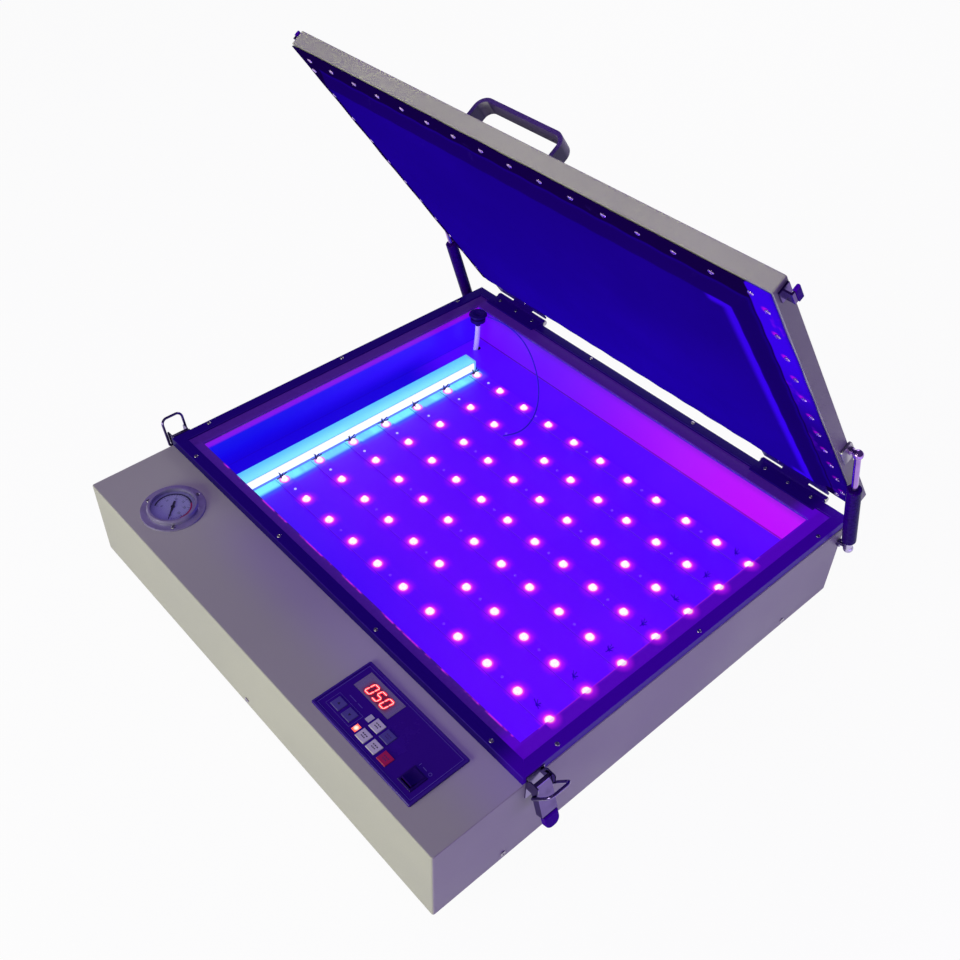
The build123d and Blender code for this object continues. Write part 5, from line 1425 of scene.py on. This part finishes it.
class MakePanelMarks(bpy.types.Operator):
    """Lines printed on the panel and marks on its keys"""

    bl_idname = "exposure.make_panel_marks"
    bl_label = "Panel marks"

    def execute(self, context):
        lines = bmesh.new()
        self.box_line(lines, 207.5, -287.0, 160.0, 73.0, 0.5)
        self.box_line(lines, 155.2, -307.4, 42.0, 20.0, 0.35)
        for x, y, length, width in (
            (150.0, -291.5, 12.0, 0.8), (163.0, -291.5, 8.0, 0.8), (269.5, -288.5, 6.0, 0.8),
            (262.0, -288.5, 0.8, 4.0),
        ):
            mark(lines, bar((x, y), length, width), PANEL_TOP)
        arc_band(lines, (278.0, -288.5), 1.5, 2.2, 0, 360, PANEL_TOP, PANEL_TOP + INK, 20)
        printed("panel_lines", lines, painted_print("panel_line_ink", tint(96, 78, 172)), "panel")
        ink = painted_print("key_ink", tint(30, 22, 56))
        for name, x, y in (
            ("key_vacuum", 196.0, -293.6), ("key_expose", 196.0, -312.0),
            ("key_start", 214.0, -312.0), ("key_set", 214.0, -293.6), ("key_stop", 232.8, -312.0),
        ):
            marks = bmesh.new()
            for down, length in ((-1.7, 8.6), (1.5, 6.6)):
                share = length / 3
                for k in (-1, 0, 1):
                    mark(marks, bar((x + k * share, y - down), share * 0.72, 1.3), KEY_TOP)
            paint = ink
            if name in ("key_set", "key_stop"):
                paint = painted_print(name + "_ink", tint(70, 40, 110))
            printed(name + "_marks", marks, paint, "key_white", name)
        for name, x, turn in (("key_up", 145.6, 90), ("key_down", 164.8, -90)):
            marks = bmesh.new()
            mark(marks, [polar((x, -307.4), 2.2, turn + 120 * n) for n in range(3)], KEY_TOP)
            printed(name + "_marks", marks, ink, "key_grey", name)
        return {"FINISHED"}

    def box_line(self, shape, x, y, width, depth, line):
        for side in (-1, 1):
            mark(shape, bar((x + side * (width - line) / 2, y), line, depth), PANEL_TOP)
            mark(shape, bar((x, y + side * (depth - line) / 2), width - 2 * line, line), PANEL_TOP)


class MakeFinishes(bpy.types.Operator):
    """Finishes of every piece that the frame brings"""

    bl_idname = "exposure.make_finishes"
    bl_label = "Finishes"

    def execute(self, context):
        colours = context.scene.exposure_finishes
        finishes = {
            powder_coat("warm_grey_powder_coat", (*colours.coat, 1.0)): "base_shell lid_shell",
            galvanised(): "bottom_plate power_supply",
            moulded("black_rubber", tint(22, 18, 34), 0.62, 900.0, 0.0002): "rubber_feet",
            # the grip's violet and its glow are painted light of the lamps
            moulded("grip_rubber", tint(52, 0, 138), 0.5, 900.0, 0.0002, 0.0, 0.03, 0.3):
                "latch_grip_left latch_grip_right keeper_caps",
            frame_black((*colours.bar, 1.0)): "glass_frame frame_hinge_leaves lid_hinge_leaves",
            clear_glass("float_glass", tint(70, 40, 190), 0.006): "glass_plate",
            clear_glass("gauge_glass", tint(150, 150, 200), 0.030): "gauge_lens",
            seal_rubber(): "glass_seal",
            chamber_walls(): "lamp_chamber",
            lamp_board(): "led_boards",
            lamp_package(): "led_emitters",
            batten_body(): "work_lamp_housing",
            diffuser(): "work_lamp_diffuser",
            moulded("black_moulding", tint(22, 14, 40), 0.42): "mains_inlet fan_frame fan_rotor",
            # the port's violet and its glow are painted light of the lamps
            moulded("port_moulding", tint(28, 6, 104), 0.42, dusty=0.05, sheen=0.1, lit=0.3):
                "suction_port",
            # the switch's indigo is painted light of the lamps on black plastic
            moulded("switch_moulding", tint(34, 4, 98), 0.45, dusty=0.03, sheen=0.15):
                "power_switch_body power_switch_rocker",
            moulded("pump_casting", tint(92, 92, 98), 0.5, 700.0, 0.0003): "vacuum_pump",
            circuit_board(): "control_board",
            panel_overlay((*colours.panel, 1.0)): "control_panel",
            window_film(): "display_window",
            lens_finish(): "indicator_lenses",
            key_cap("white_key", tint(204, 198, 214)): "key_vacuum key_expose key_start",
            key_cap("grey_key", tint(80, 70, 148)): "key_up key_down key_set",
            key_cap("red_key", tint(176, 16, 86)): "key_stop",
            # painted reflection: the violet tints of the bezel, latch, strut and rod chrome stand
            # for the violet-lit surroundings
            bright_metal("bezel_chrome", tint(176, 166, 208), 0.16, metal=0.6): "gauge_case",
            gauge_card(): "gauge_dial",
            painted_print("needle_black", tint(26, 22, 50), rough=0.35): "gauge_needle",
            handle_paint(): "lid_handle",
            strut_tube(): "strut_cylinder_left strut_cylinder_right",
            bright_metal("bright_chrome", tint(110, 92, 154), 0.12):
                "strut_studs latch_bases latch_lever_left latch_lever_right "
                "latch_bail_left latch_bail_right",
            bright_metal("zinc_plate", tint(170, 164, 182), 0.30): "hinge_pins lid_strut_brackets",
            # the keepers' dark violet is painted reflection
            bright_metal("chrome_painted_violet_reflection", tint(84, 52, 140), 0.20): "lid_keepers",
            bright_metal("lit_rod_chrome", tint(168, 128, 214), 0.14):
                "strut_rod_left strut_rod_right",
        }
        dressed = set()
        for material, names in finishes.items():
            for name in names.split():
                dressed.add(name)
                slots = NODES[name].material_slots
                for place in slots:
                    place.material = material
                if not slots:
                    NODES[name].data.materials.append(material)
        bare = [n for n in NODES if n not in dressed and not NODES[n].hide_render]
        if bare:
            raise RuntimeError("no finish for " + ", ".join(sorted(bare)))
        return {"FINISHED"}


class ExposurePanel(bpy.types.Panel):
    """Settings and steps of the exposure unit"""

    bl_idname = "VIEW3D_PT_exposure"
    bl_label = "Exposure unit"
    bl_space_type = "VIEW_3D"
    bl_region_type = "UI"
    bl_category = "Exposure"

    def draw(self, context):
        for group in (context.scene.exposure_finishes, context.scene.exposure_sizes):
            for name in group.__annotations__:
                self.layout.prop(group, name)
        for step in STEPS:
            self.layout.operator(step.bl_idname)


STEPS = (
    MakeStage, MakeHoses, MakeBlanket, MakeScrews, MakeLamps,
    MakeGaugeMarks, MakeDisplay, MakePanelMarks, MakeFinishes,
)
CLASSES = (ExposureFinishes, ExposureSizes, *STEPS, ExposurePanel)


def register():
    for item in CLASSES:
        bpy.utils.register_class(item)
    bpy.types.Scene.exposure_finishes = bpy.props.PointerProperty(type=ExposureFinishes)
    bpy.types.Scene.exposure_sizes = bpy.props.PointerProperty(type=ExposureSizes)


def unregister():
    del bpy.types.Scene.exposure_sizes
    del bpy.types.Scene.exposure_finishes
    for item in reversed(CLASSES):
        bpy.utils.unregister_class(item)


def main():
    register()
    for step in STEPS:
        group, name = step.bl_idname.split(".")
        getattr(getattr(bpy.ops, group), name)()


if __name__ == "__main__":
    main()
